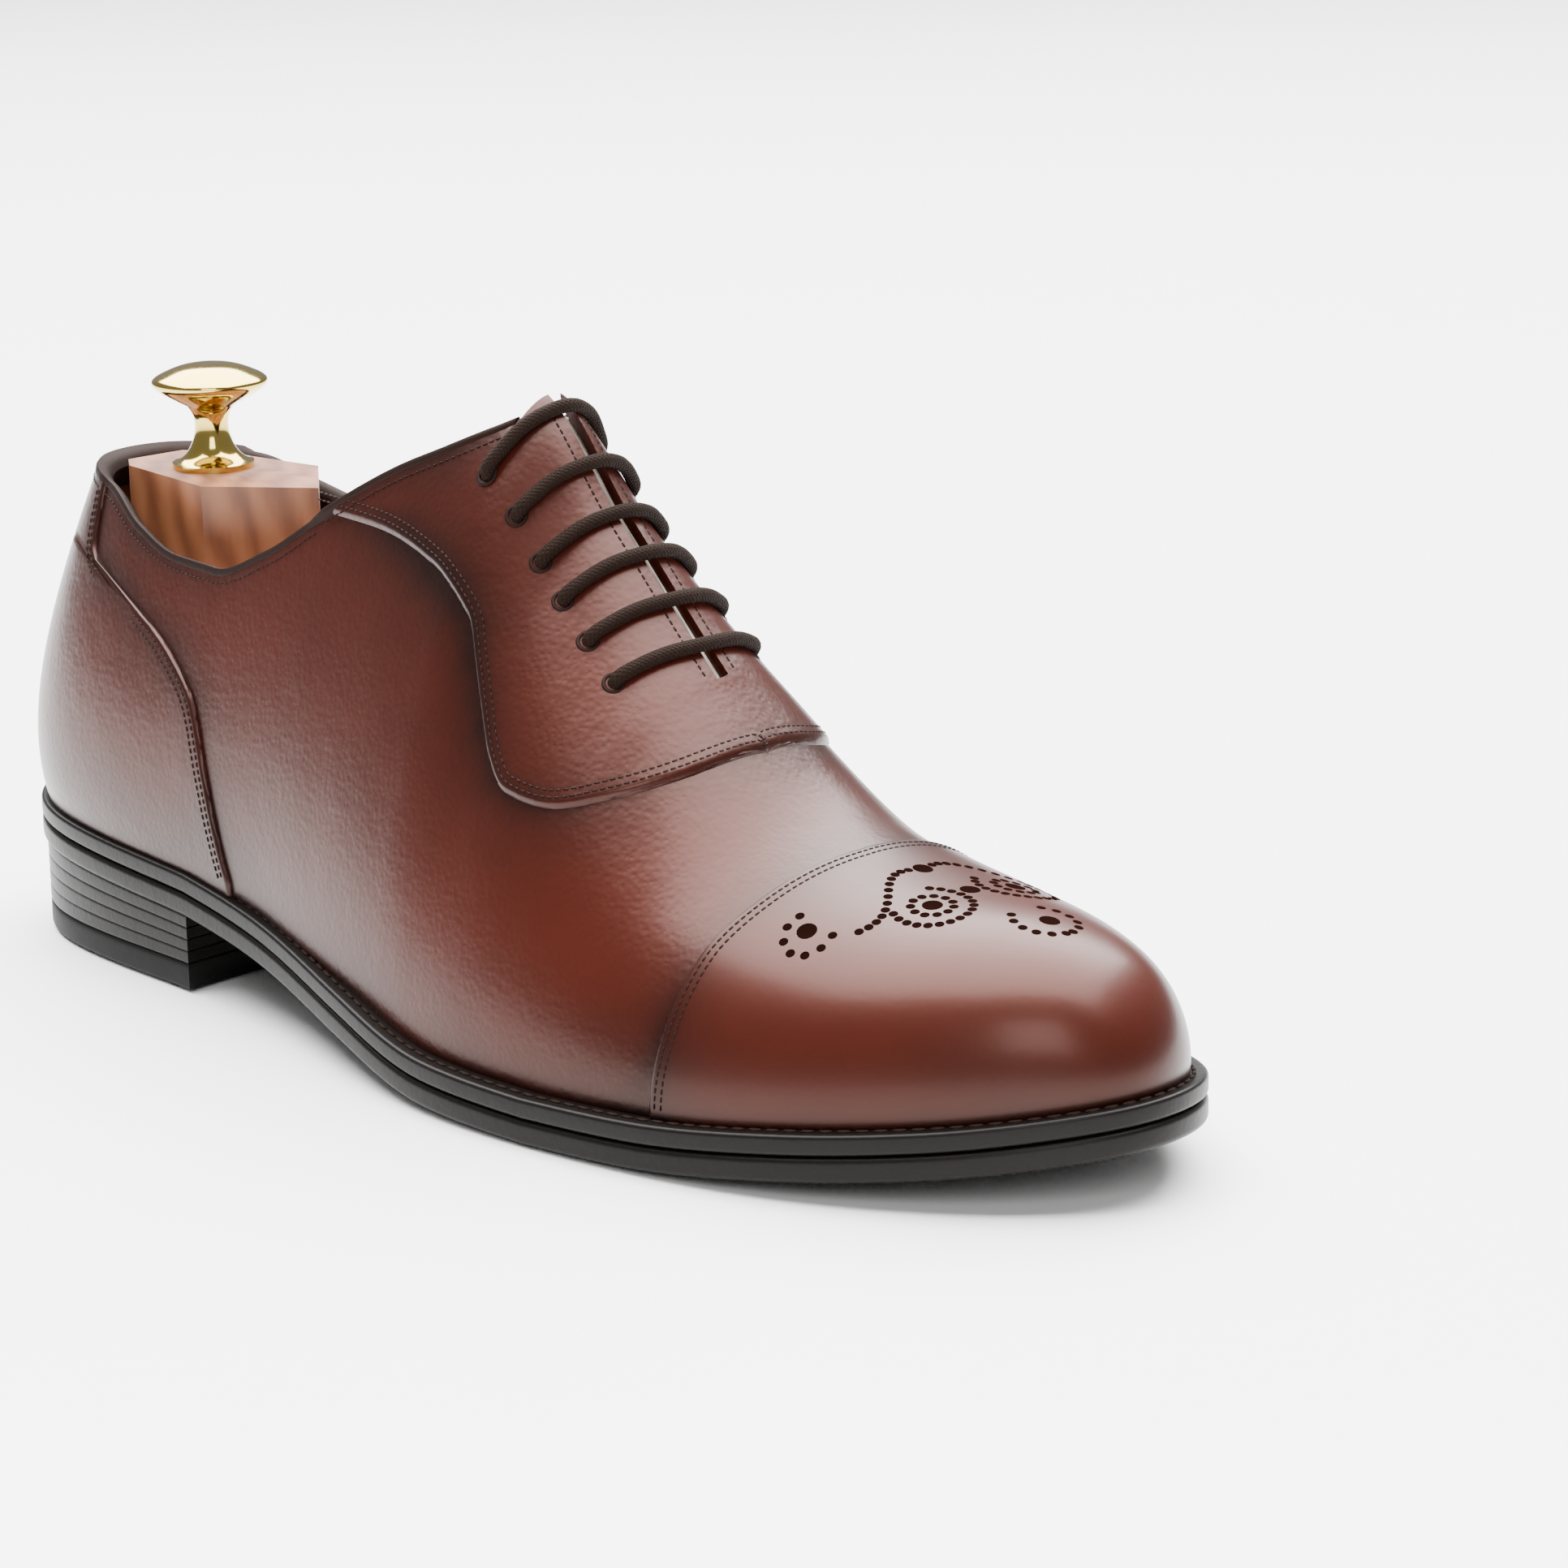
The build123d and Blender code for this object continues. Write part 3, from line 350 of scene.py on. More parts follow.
def grid_faces(rows: int, columns: int, base: int = 0, flip: bool = False) -> list[list[int]]:
    """Quads of a grid of vertices stored row by row."""
    i, j = np.meshgrid(np.arange(rows - 1), np.arange(columns - 1), indexing="ij")
    a = base + i * columns + j
    quads = np.stack([a, a + 1, a + columns + 1, a + columns], -1).reshape(-1, 4)
    return (quads[:, ::-1] if flip else quads).tolist()


def ring_faces(rings: int, sides: int, base: int = 0) -> list[list[int]]:
    """Faces of a solid of stacked rings, with both of its ends capped."""
    faces = []
    for i in range(rings - 1):
        for j in range(sides):
            k, a = (j + 1) % sides, base + i * sides
            faces.append([a + j, a + k, a + sides + k, a + sides + j])
    faces.append([base + j for j in range(sides)][::-1])
    faces.append([base + (rings - 1) * sides + j for j in range(sides)])
    return faces


def closed_sheet(name: str, top: Array, bottom: Array) -> bpy.types.Object:
    """Closed leather panel from an outer and an inner grid of equal shape.

    Args:
        name: Piece name.
        top: Outer grid, rows by columns by 3, heel stations.
        bottom: Inner grid of the same shape.

    Returns:
        The piece, merged and facing outwards.
    """
    rows, columns = top.shape[:2]
    count = rows * columns
    verts = np.vstack([top.reshape(-1, 3), bottom.reshape(-1, 3)])
    faces = grid_faces(rows, columns) + grid_faces(rows, columns, count, True)
    loop = [(0, j) for j in range(columns)] + [(i, columns - 1) for i in range(1, rows)]
    loop += [(rows - 1, j) for j in range(columns - 2, -1, -1)]
    loop += [(i, 0) for i in range(rows - 2, 0, -1)]
    rim = [i * columns + j for i, j in loop]
    spots = [tuple(spot) for spot in np.round(verts * 200).astype(int).tolist()]
    walls: dict[frozenset, list[list[int]]] = {}
    for a, b in zip(rim, rim[1:] + rim[:1]):
        wall = [b, a, a + count, b + count]
        walls.setdefault(frozenset(spots[v] for v in wall), []).append(wall)
    faces += [found[0] for key, found in walls.items() if len(found) == 1 and len(key) > 2]
    piece = make_object(name, LAST.frame_points(verts), faces)
    merge_and_face(piece)
    smooth(piece)
    return piece


def tube(name: str, path: Array, radius: float, sides: int) -> bpy.types.Object:
    """Round tube along a path in the frame, with a UV map of length and turn.

    Args:
        name: Piece name.
        path: Points in millimetres.
        radius: Radius of the section.
        sides: Corners of the section.

    Returns:
        The tube piece.
    """
    tangent = np.gradient(path, axis=0)
    tangent /= np.linalg.norm(tangent, axis=1)[:, None]
    normal = np.zeros_like(path)
    start = np.cross(tangent[0], [0.3, 0.2, 1.0])
    normal[0] = start / np.linalg.norm(start)
    for k in range(1, len(path)):
        n = normal[k - 1] - tangent[k] * (normal[k - 1] @ tangent[k])
        normal[k] = n / np.linalg.norm(n)
    other = np.cross(tangent, normal)
    angle = np.linspace(0, 2 * math.pi, sides, endpoint=False)
    spoke = normal[:, None] * np.cos(angle)[:, None] + other[:, None] * np.sin(angle)[:, None]
    verts = (path[:, None] + spoke * radius).reshape(-1, 3)
    piece = make_object(name, verts, ring_faces(len(path), sides))
    arc = np.r_[0, np.cumsum(np.linalg.norm(np.diff(path, axis=0), axis=1))]
    layer = piece.data.uv_layers.new(name="wrap")
    at = 0
    for i in range(len(path) - 1):
        for j in range(sides):
            for a, b in ((i, j), (i, j + 1), (i + 1, j + 1), (i + 1, j)):
                layer.data[at].uv = (arc[a], b / sides)
                at += 1
    smooth(piece, 60)
    return piece


def ring_stack(name: str, loops: Sequence[Array]) -> bpy.types.Object:
    """Closed solid from stacked closed loops of equal length; both ends are capped.

    Args:
        name: Piece name.
        loops: Loops of points with heel stations, from the top centre to the bottom centre.

    Returns:
        The piece.
    """
    faces = ring_faces(len(loops), len(loops[0]))
    piece = make_object(name, LAST.frame_points(np.vstack(loops)), faces)
    merge_and_face(piece, 0.01)
    smooth(piece, 40)
    return piece


@dataclass(frozen=True)
class Seam:
    """A seam seen from the side, as stations and heights above the ground."""

    chain: Table
    upright: bool

    def crossed(self, p: Array) -> Array:
        """Whether points lie past the seam, towards the toe or upwards."""
        if self.upright:
            rows = sorted((z, x) for x, z in self.chain)
            return p[..., 0] > graded(rows, p[..., 2])
        return p[..., 2] > graded(self.chain, p[..., 0])


FACING_BACK, FACING_FRONT = 109.0, 209.5
COVER_FRONT = 33.0
FACING_SEAM = Seam((
    (109, 101.5), (128, 100.5), (147, 96), (159, 88), (163.5, 80), (168, 72), (173, 64.5),
    (179, 59.5), (189, 58), (200, 60.5), (207, 63.5), (209.5, 66)), False)
COVER_SEAM = Seam((
    (33, 100), (36, 84), (49, 77.5), (60, 74), (71, 68), (80, 60), (86, 47), (94, 26)), True)
CAP_SEAM = Seam(((226.8, 8), (227.5, 20), (229, 38), (232, 47), (234, 54)), True)
EYELETS = (189.0, 181.6, 174.3, 167.6, 160.6, 152.5)
EYELET_LEVEL = 0.73
PER_MM = 1 / 345
ABOVE_THE_CAP = 90.0
STEPS = np.array((0, 0.15, 0.35, 0.6, 0.9, 1.4, 2.2))


def crowded(start: float, end: float, count: int, step: float) -> Array:
    """Positions from start to end, crowded over a few millimetres at the start.

    Args:
        start: First position.
        end: Last position.
        count: Number of even positions after the crowded ones.
        step: Size of one millimetre in the positions' unit.

    Returns:
        The positions in order.
    """
    near = start + math.copysign(step, end - start) * STEPS
    return np.r_[near, np.linspace(near[-1], end, count + 1)[1:]]


def resampled(points: Array, pitch: float) -> Array:
    """Points at an even pitch along a polyline."""
    arc = np.r_[0, np.cumsum(np.linalg.norm(np.diff(points, axis=0), axis=1))]
    even = np.linspace(0, arc[-1], max(2, int(round(arc[-1] / pitch)) + 1))
    return np.stack([np.interp(even, arc, points[:, c]) for c in range(3)], -1)


@dataclass
class Patch:
    """Grid of outline shares and levels on the last, over both walls."""

    u: Array
    t: Array

    @classmethod
    def over(cls, q: Array, level: Callable[[Array], Array]) -> "Patch":
        """Patch from the outer wall over to the inner wall.

        Args:
            q: Columns of one wall, one row of them or one for each row of the grid.
            level: Gives the grid's levels from its outline shares.

        Returns:
            The patch; its last row meets itself where it reaches the ridge.
        """
        outer = LAST.column(q, Side.OUTER)
        inner = LAST.column(q, Side.INNER)[..., ::-1]
        u = np.concatenate([outer, inner[..., 1:]], -1)
        t = level(u)
        return cls(np.broadcast_to(u, t.shape), t)

    def points(self, lift: Array = 0.0) -> Array:
        """Grid of points at a lift, its two walls joined along the ridge."""
        grid = LAST.surface(self.u, self.t, lift)
        joined = (self.t[-1] > 0.99999) & (self.t[-1][::-1] > 0.99999)
        mean = (grid[-1] + grid[-1][::-1]) / 2
        grid[-1] = np.where(joined[:, None], mean, grid[-1])
        return grid


@dataclass
class BurnishAndShade:
    """Darkening of the upper: burnished near seams, edges and the heel's back, and painted shade
    low on the upper towards the feather line.
    """

    lines: list[Array]
    reach: float = 6.0
    seam: float = 0.7
    # Painted shade: the upper darkens towards the feather line, below the height that follows.
    foot: float = 0.75
    feather_shade_height: float = 26.0
    back: float = 0.45
    back_start: float = -88.0
    back_run: float = 60.0

    def write(self, piece: bpy.types.Object) -> None:
        """Writes the darkening attribute of a piece's vertices: burnished seams, edges and heel
        back, and painted shade low on the upper near the feather line.
        """
        p = np.array([v.co for v in piece.data.vertices]) / MM
        dots = np.vstack(self.lines)
        gap = [np.sqrt(((q[:, None] - dots[None]) ** 2).sum(-1)).min(1)
               for q in np.array_split(p, max(1, len(p) // 1500))]
        seam = np.exp(-np.concatenate(gap) / self.reach)
        rise = p[:, 2] - LAST.underside(p[:, 0] + LAST.length / 2) - LAST.sole
        # Painted shade low on the upper, strongest at the feather line where the upper meets the
        # welt.
        low = np.clip(1 - rise / self.feather_shade_height, 0, 1) ** 1.3
        heel = np.clip((self.back_start - p[:, 0]) / self.back_run, 0, 1) * self.back
        value = np.clip(self.seam * seam + self.foot * low + heel, 0, 1)
        layer = piece.data.attributes.new("burnish_and_shade", "FLOAT", "POINT")
        layer.data.foreach_set("value", value.astype(np.float32))


def own(piece: bpy.types.Object, body: str, finish: Finish, *nodes: str) -> None:
    """Ties a piece to its body and finish, and to the CAD nodes that it stands for."""
    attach(piece, body)
    if nodes:
        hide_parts(*nodes)
    piece.data.materials.clear()
    piece.data.materials.append(MATERIALS.upper(finish, piece.name))
    LOG.info("%s: %d faces on %s", piece.name, len(piece.data.polygons), body)


@dataclass
class StitchRow:
    """A row of stitches beside a boundary of a patch."""

    u: Array
    t: Array
    inward: Array
    lift: float

    def path(self, offset: float) -> Array:
        """Polyline on the leather at an offset from the boundary."""
        here, along, up = LAST.jacobian(self.u, self.t)
        run = np.gradient(here, axis=0)
        run /= np.linalg.norm(run, axis=1)[:, None] + 1e-9
        into = np.cross(np.cross(along, up), run)
        into *= np.sign(((self.inward - here) * into).sum())
        into /= np.linalg.norm(into, axis=1)[:, None] + 1e-9
        u, t = self.u.copy(), self.t.copy()
        for k in range(len(u)):
            basis = np.stack([along[k], up[k]], 1)
            step = np.linalg.lstsq(basis, into[k] * offset, rcond=None)[0]
            u[k], t[k] = u[k] + step[0], min(1.0, t[k] + step[1])
        line = LAST.surface(u, t, self.lift)
        keep = np.r_[True, np.linalg.norm(np.diff(line, axis=0), axis=1) > 1e-4]
        line = resampled(line[keep], 0.5)
        kernel = np.ones(5) / 5
        core = np.stack([np.convolve(line[:, c], kernel, "valid") for c in range(3)], -1)
        return np.vstack([line[:1], core, line[-1:]])


def capsules(name: str, paths: Sequence[Array], pitch: float, length: float, radius: float,
             squash: float = 1.0) -> bpy.types.Object:
    """One mesh of short round-ended stitches laid along paths.

    Args:
        name: Piece name.
        paths: Polylines with heel stations.
        pitch: Distance between stitches.
        length: Length of a stitch.
        radius: Half its thickness.
        squash: Height of a stitch's section as a share of its width.

    Returns:
        The piece.
    """
    sides, rings = 6, ((-0.5, 0.35), (-0.36, 0.9), (0.0, 1.0), (0.36, 0.9), (0.5, 0.35))
    angle = np.linspace(0, 2 * math.pi, sides, endpoint=False)
    verts, faces = [], []
    for path in paths:
        centres = resampled(path, pitch)
        runs = np.gradient(centres, axis=0)
        runs /= np.linalg.norm(runs, axis=1)[:, None]
        for centre, run in zip(centres, runs):
            side = np.cross(run, [0.13, 0.07, 1.0])
            side /= np.linalg.norm(side)
            other = np.cross(side, run) * squash
            faces += ring_faces(len(rings), sides, len(verts))
            for share, girth in rings:
                spoke = np.outer(np.cos(angle), side) + np.outer(np.sin(angle), other)
                verts.extend(centre + run * share * length + spoke * radius * girth)
    piece = make_object(name, LAST.frame_points(np.array(verts)), faces)
    merge_and_face(piece, 0.0005)
    smooth(piece, 70)
    return piece


@dataclass
class Upper:
    """The sewn upper: base leather, overlays, linings, binding, stitches and perforations, the
    last drawn as dark discs of painted shade.
    """

    overlay: float = 1.0
    leather: float = 1.2
    lining: float = 1.75
    fold: float = 0.8
    stitch_length: float = 1.1
    stitch_pitch: float = 1.5
    stitch_radius: float = 0.24
    seam_rows: tuple[float, ...] = (1.5, 2.9)
    topline_row: tuple[float, ...] = (2.6,)
    slit_row: tuple[float, ...] = (2.2,)
    # Perforations are dark discs laid on the cap: painted shade of open holes.
    large_hole: float = 1.6
    small_hole: float = 0.74
    hole_sides: int = 14
    hole_rings: Table = ((1.28, -0.25), (1.2, 0.05), (1.02, 0.06), (0.96, 0.015))
    shoe: dict[str, bpy.types.Object] = field(default_factory=dict)
    edges: list[Array] = field(default_factory=list)
    rows: list[tuple[StitchRow, tuple[float, ...]]] = field(default_factory=list)

    def build(self) -> None:
        """Builds every piece of the upper."""
        self.build_base()
        self.build_facing()
        self.build_cap()
        self.build_cover()
        self.build_binding()
        self.build_stitches()
        # Burnished seams, edges and heel back, with painted shade low on the upper near the
        # feather line.
        shade = BurnishAndShade([LAST.frame_points(edge) for edge in self.edges])
        for name in ("vamp_and_quarters", "facing_panel", "cap_panel", "heel_cover_panel"):
            shade.write(self.shoe[name])

    def keep(self, piece: bpy.types.Object, finish: Finish, *nodes: str) -> None:
        """Records a finished piece with the CAD nodes that it stands for."""
        own(piece, SHOE, finish, *nodes)
        self.shoe[piece.name] = piece

    def whole(self, columns: int, rows: int, trim: float = 0.0) -> Patch:
        """Patch over the whole upper, crowded at the throat and the slit's end."""
        throat = float(LAST.find(LAST.throat, 0.9, Side.OUTER))
        slit = float(LAST.find(LAST.slit_end, 0.98, Side.OUTER))
        near = np.array((-0.5, -0.05, 0.05, 0.5)) * PER_MM
        q = np.sort(np.r_[np.linspace(0, 1, columns), throat + near, slit + near])
        share = np.linspace(0, 1, rows)[:, None]

        def level(u: Array) -> Array:
            top = LAST.top(u)
            slit = (LAST.surface(u, top)[:, 0] > LAST.throat - 2) & (top < 1)
            return share * np.where(slit, top - trim, top)[None]

        return Patch.over(q, level)

    def build_base(self) -> None:
        """Vamp and quarters, and the linings inside them."""
        patch = self.whole(250, 64)
        piece = closed_sheet("vamp and quarters", patch.points(), patch.points(-self.leather))
        self.keep(piece, Finish.UPPER, "vamp_quarters")
        grid, middle = patch.points(), patch.u.shape[1] // 2
        x = grid[-1][:, 0]
        for low, high, lift in ((-5, 31.5, 1.0), (34.5, 108, 0.0), (110.5, 151.5, 1.0)):
            for part in (np.arange(len(x)) <= middle, np.arange(len(x)) >= middle):
                on = part & (x > low) & (x < high)
                row = StitchRow(patch.u[-1][on], patch.t[-1][on], grid[-4][on], lift)
                self.rows.append((row, self.topline_row))
        self.edges.append(resampled(grid[-1][x < LAST.throat], 3.0))
        patch = self.whole(110, 36, 0.04)
        depth = self.leather + 0.05
        piece = closed_sheet("linings", patch.points(-depth), patch.points(-depth - self.lining))
        self.keep(piece, Finish.LINING, "quarter_lining", "vamp_lining", "collar_tape")

    def overlaid(self, name: str, patch: Patch, edge: Array, node: str) -> None:
        """Lays a panel on the base, rounded down at its folded edge.

        Args:
            name: Piece name.
            patch: The panel's grid.
            edge: Its seam as points.
            node: CAD node that it stands for.
        """
        grid = patch.points()
        dense = resampled(edge, 0.3)
        gap = np.array([[((p - dense) ** 2).sum(1).min() for p in row] for row in grid]) ** 0.5
        s = np.clip(gap / self.fold, 0, 1)
        lift = -0.2 + (self.overlay + 0.2) * np.sqrt(1 - (1 - s) ** 2)
        piece = closed_sheet(name, patch.points(lift), patch.points(-0.35))
        self.keep(piece, Finish.UPPER, node)
        self.edges.append(resampled(edge, 2.0))

    def build_facing(self) -> None:
        """Lace facing: one U-shaped panel round the slit."""
        low = float(LAST.find(FACING_BACK, 0.6, Side.OUTER))
        high = float(LAST.find(FACING_FRONT, 0.995, Side.OUTER))
        throat = float(LAST.find(LAST.throat, 0.9, Side.OUTER))
        slit = float(LAST.find(LAST.slit_end, 0.98, Side.OUTER))
        near = np.array((-0.05, 0.05)) * PER_MM
        main = crowded(high, low, 120, PER_MM)
        q = np.sort(np.r_[main, throat + near, slit + near])
        share = crowded(0, 1, 28, 0.018)[:, None]

        def level(u: Array) -> Array:
            test = lambda t: FACING_SEAM.crossed(LAST.surface(u, t))
            seam = bisect(test, np.full(u.shape, 0.2), np.ones(u.shape))
            top = LAST.top(u)
            return seam + share * np.maximum(top - seam, 0)

        patch = Patch.over(q, level)
        grid = patch.points()
        self.overlaid("facing panel", patch, grid[0], "lace_facing")
        deep = len(STEPS) - 1
        self.rows.append((StitchRow(patch.u[0], patch.t[0], grid[deep], self.overlay),
                          self.seam_rows))
        count = len(q)
        for part in (slice(0, count), slice(count - 1, None)):
            u, t, inner = patch.u[-1][part], patch.t[-1][part], grid[-8][part]
            x = grid[-1][part][:, 0]
            keep = (x > 156) & (x < 197)
            row = StitchRow(u[keep], t[keep], inner[keep], self.overlay)
            self.rows.append((row, self.slit_row))

    def fanned(self, seam: Seam, closed_end: float, shares: Array, count: int,
               between: tuple[float, float]) -> Patch:
        """Patch from a seam on the outer wall round the shoe's end to the inner wall's.

        Args:
            seam: The upright seam.
            closed_end: Column at the shoe's end, 0 for the heel and 1 for the toe.
            shares: Rows, as shares of each column's height.
            count: Columns between the seam and the end.
            between: Columns between which the seam lies.

        Returns:
            The patch.
        """
        halves = []
        for side in Side:
            def past(q: Array) -> Array:
                u = LAST.column(q, side)
                return seam.crossed(LAST.surface(u, shares * LAST.top(u)))

            ends = [np.full(shares.shape, end) for end in between]
            at = bisect(past, *ends)
            rows = [crowded(q, closed_end, count, PER_MM) for q in at]
            halves.append(LAST.column(np.array(rows), side))
        u = np.concatenate([halves[0], halves[1][:, ::-1][:, 1:]], 1)
        return Patch(u, shares[:, None] * LAST.top(u))

    def build_cap(self) -> None:
        """Toe cap with its seam, and its perforations."""
        rows = np.linspace(0, 1, 70)
        patch = self.fanned(CAP_SEAM, 1.0, rows, 75, (0.5, 0.98))
        grid = patch.points()
        edge = np.vstack([grid[:, 0], grid[::-1, -1]])
        self.overlaid("cap panel", patch, edge, "toe_cap")
        deep = len(STEPS) - 1
        u = np.r_[patch.u[:, 0], patch.u[::-1, -1][1:]]
        t = np.r_[patch.t[:, 0], patch.t[::-1, -1][1:]]
        inner = np.vstack([grid[:, deep], grid[::-1, -1 - deep][1:]])
        low = t > 0.05
        self.rows.append((StitchRow(u[low], t[low], inner[low], self.overlay), self.seam_rows))
        self.build_medallion()

    def build_cover(self) -> None:
        """Heel cover, one panel round the back."""
        rows = np.linspace(0, 1, 60)
        patch = self.fanned(COVER_SEAM, 0.0, rows, 70, (0.02, 0.45))
        grid = patch.points()
        edge = np.vstack([grid[:, 0], grid[::-1, -1]])
        self.overlaid("heel cover panel", patch, edge, "heel_cover")
        deep = len(STEPS) - 1
        for column, inner in ((0, deep), (-1, -1 - deep)):
            on = (patch.t[:, column] > 0.05) & (np.arange(len(rows)) < len(rows) - 2)
            row = StitchRow(patch.u[on, column], patch.t[on, column], grid[on, inner],
                            self.overlay)
            self.rows.append((row, self.seam_rows))

    def build_binding(self) -> None:
        """Folded binding over the topline."""
        q = np.linspace(0, float(LAST.find(LAST.throat - 0.2, 0.9, Side.OUTER)), 120)
        u = np.r_[LAST.column(q, Side.OUTER)[::-1], LAST.column(q, Side.INNER)[1:]]
        top = LAST.top(u)
        _, _, up = LAST.jacobian(u, top)
        per_mm = 1 / np.linalg.norm(up, axis=1)
        x = LAST.surface(u, top)[:, 0]
        over = ((x > FACING_BACK) | (x < COVER_FRONT)).astype(float)
        over = np.convolve(np.pad(over, 1, "edge"), np.ones(3) / 3, "valid") * self.overlay
        inside = -self.leather - self.lining - 0.05
        outline = ((1.3, -0.1), (1.2, 0.32), (0.5, 0.5), (-0.2, 0.3), (-0.6, -0.3),
                   (-0.75, -1.4), (-0.6, -2.4), (0.0, inside - 0.5), (1.5, inside - 0.6),
                   (4.8, inside - 0.6), (5.0, inside + 0.2), (1.6, inside + 0.4))
        loops = []
        for down, lift in outline:
            height = lift + over * (1.0 if lift > -0.2 else 0.0)
            loops.append(LAST.surface(u, np.minimum(top - down * per_mm, 1.0), height))
        grid = np.array(loops).transpose(1, 0, 2)
        self.keep(ring_stack("rolled binding", list(grid)), Finish.BINDING, "topline_binding")

    def build_stitches(self) -> None:
        """Every sewn row of the upper as one thread piece."""
        paths = [row.path(offset) for row, offsets in self.rows for offset in offsets]
        piece = capsules("upper stitches", paths, self.stitch_pitch, self.stitch_length,
                         self.stitch_radius, 0.7)
        self.keep(piece, Finish.BINDING)

    def build_medallion(self) -> None:
        """Perforations of the cap, large holes ringed by small ones, as flat dark discs on the
        leather: painted shade where the holes would be deep.
        """
        holes = [(x, y, self.large_hole) for x, y in MEDALLION_LARGE]
        holes += [(x, y, self.small_hole) for x, y in medallion_small()]
        verts, faces = [], []
        angle = np.linspace(0, 2 * math.pi, self.hole_sides, endpoint=False)
        cap = self.shoe["cap_panel"]
        for x, y, radius in holes:
            above = LAST.frame_points(np.array([x, y, ABOVE_THE_CAP])) * MM
            _, spot, normal, _ = cap.ray_cast(Vector(above), Vector((0, 0, -1)))
            centre = np.array(spot) / MM - LAST.frame_points(np.zeros(3))
            normal = np.array(normal)
            ahead = np.array([1.0, 0, 0]) - normal * normal[0]
            ahead /= np.linalg.norm(ahead)
            side = np.cross(normal, ahead)
            faces += ring_faces(len(self.hole_rings), self.hole_sides, len(verts))
            for scale, lift in self.hole_rings:
                ring = np.outer(np.cos(angle), ahead) + np.outer(np.sin(angle), side)
                verts.extend(centre + ring * radius * scale + normal * lift)
        piece = make_object("cap perforation shade discs", LAST.frame_points(np.array(verts)), faces)
        merge_and_face(piece, 0.0005)
        smooth(piece, 40)
        self.keep(piece, Finish.BINDING)


MEDALLION_AXIS = 7.6
MEDALLION_LARGE = (
    (245.0, 7.6), (257.0, 7.6), (276.4, 7.9), (258.0, -3.0), (258.0, 18.2), (245.0, -21.6),
    (245.0, 36.8))


def medallion_small() -> list[tuple[float, float]]:
    """Small holes of the medallion, mirrored about its axis."""
    half: list[tuple[float, float]] = []
    for radius, count, start, sweep in ((3.9, 11, 0.0, 2 * math.pi), (7.4, 17, -2.0, 4.7)):
        for k in range(count):
            a = start + sweep * k / count
            half.append((258 + radius * math.cos(a), 10.6 - radius * math.sin(a)))
    for k in range(13):
        s = k / 12
        half.append((248.5 - 4.5 * math.sin(1.2 + 4.2 * s) + 1.5 * s, 3.0 + 21.5 * s))
    for k in range(7):
        a = -0.4 + 3.9 * k / 6
        half.append((245.6 - 4.6 * math.cos(a), 29.2 + 4.6 * math.sin(a)))
    for k in range(6):
        a = 0.15 + 2.3 * k / 5
        half.append((275.6 + 6.0 * math.cos(a), 6.0 * math.sin(a)))
    return [(x, MEDALLION_AXIS + sign * y) for sign in (-1, 1) for x, y in half]


def filleted(route: Sequence[Array], steps: int = 5) -> Array:
    """Points of a route whose corners are eased by short curves."""
    out = [route[0]]
    for before, corner, after in zip(route, route[1:], route[2:]):
        reach = 0.46 * min(np.linalg.norm(corner - before), np.linalg.norm(after - corner))
        a = corner + (before - corner) / np.linalg.norm(before - corner) * reach
        b = corner + (after - corner) / np.linalg.norm(after - corner) * reach
        for k in range(steps + 1):
            s = k / steps
            out.append(a * (1 - s) ** 2 + corner * 2 * s * (1 - s) + b * s * s)
    out.append(route[-1])
    return np.array(out)


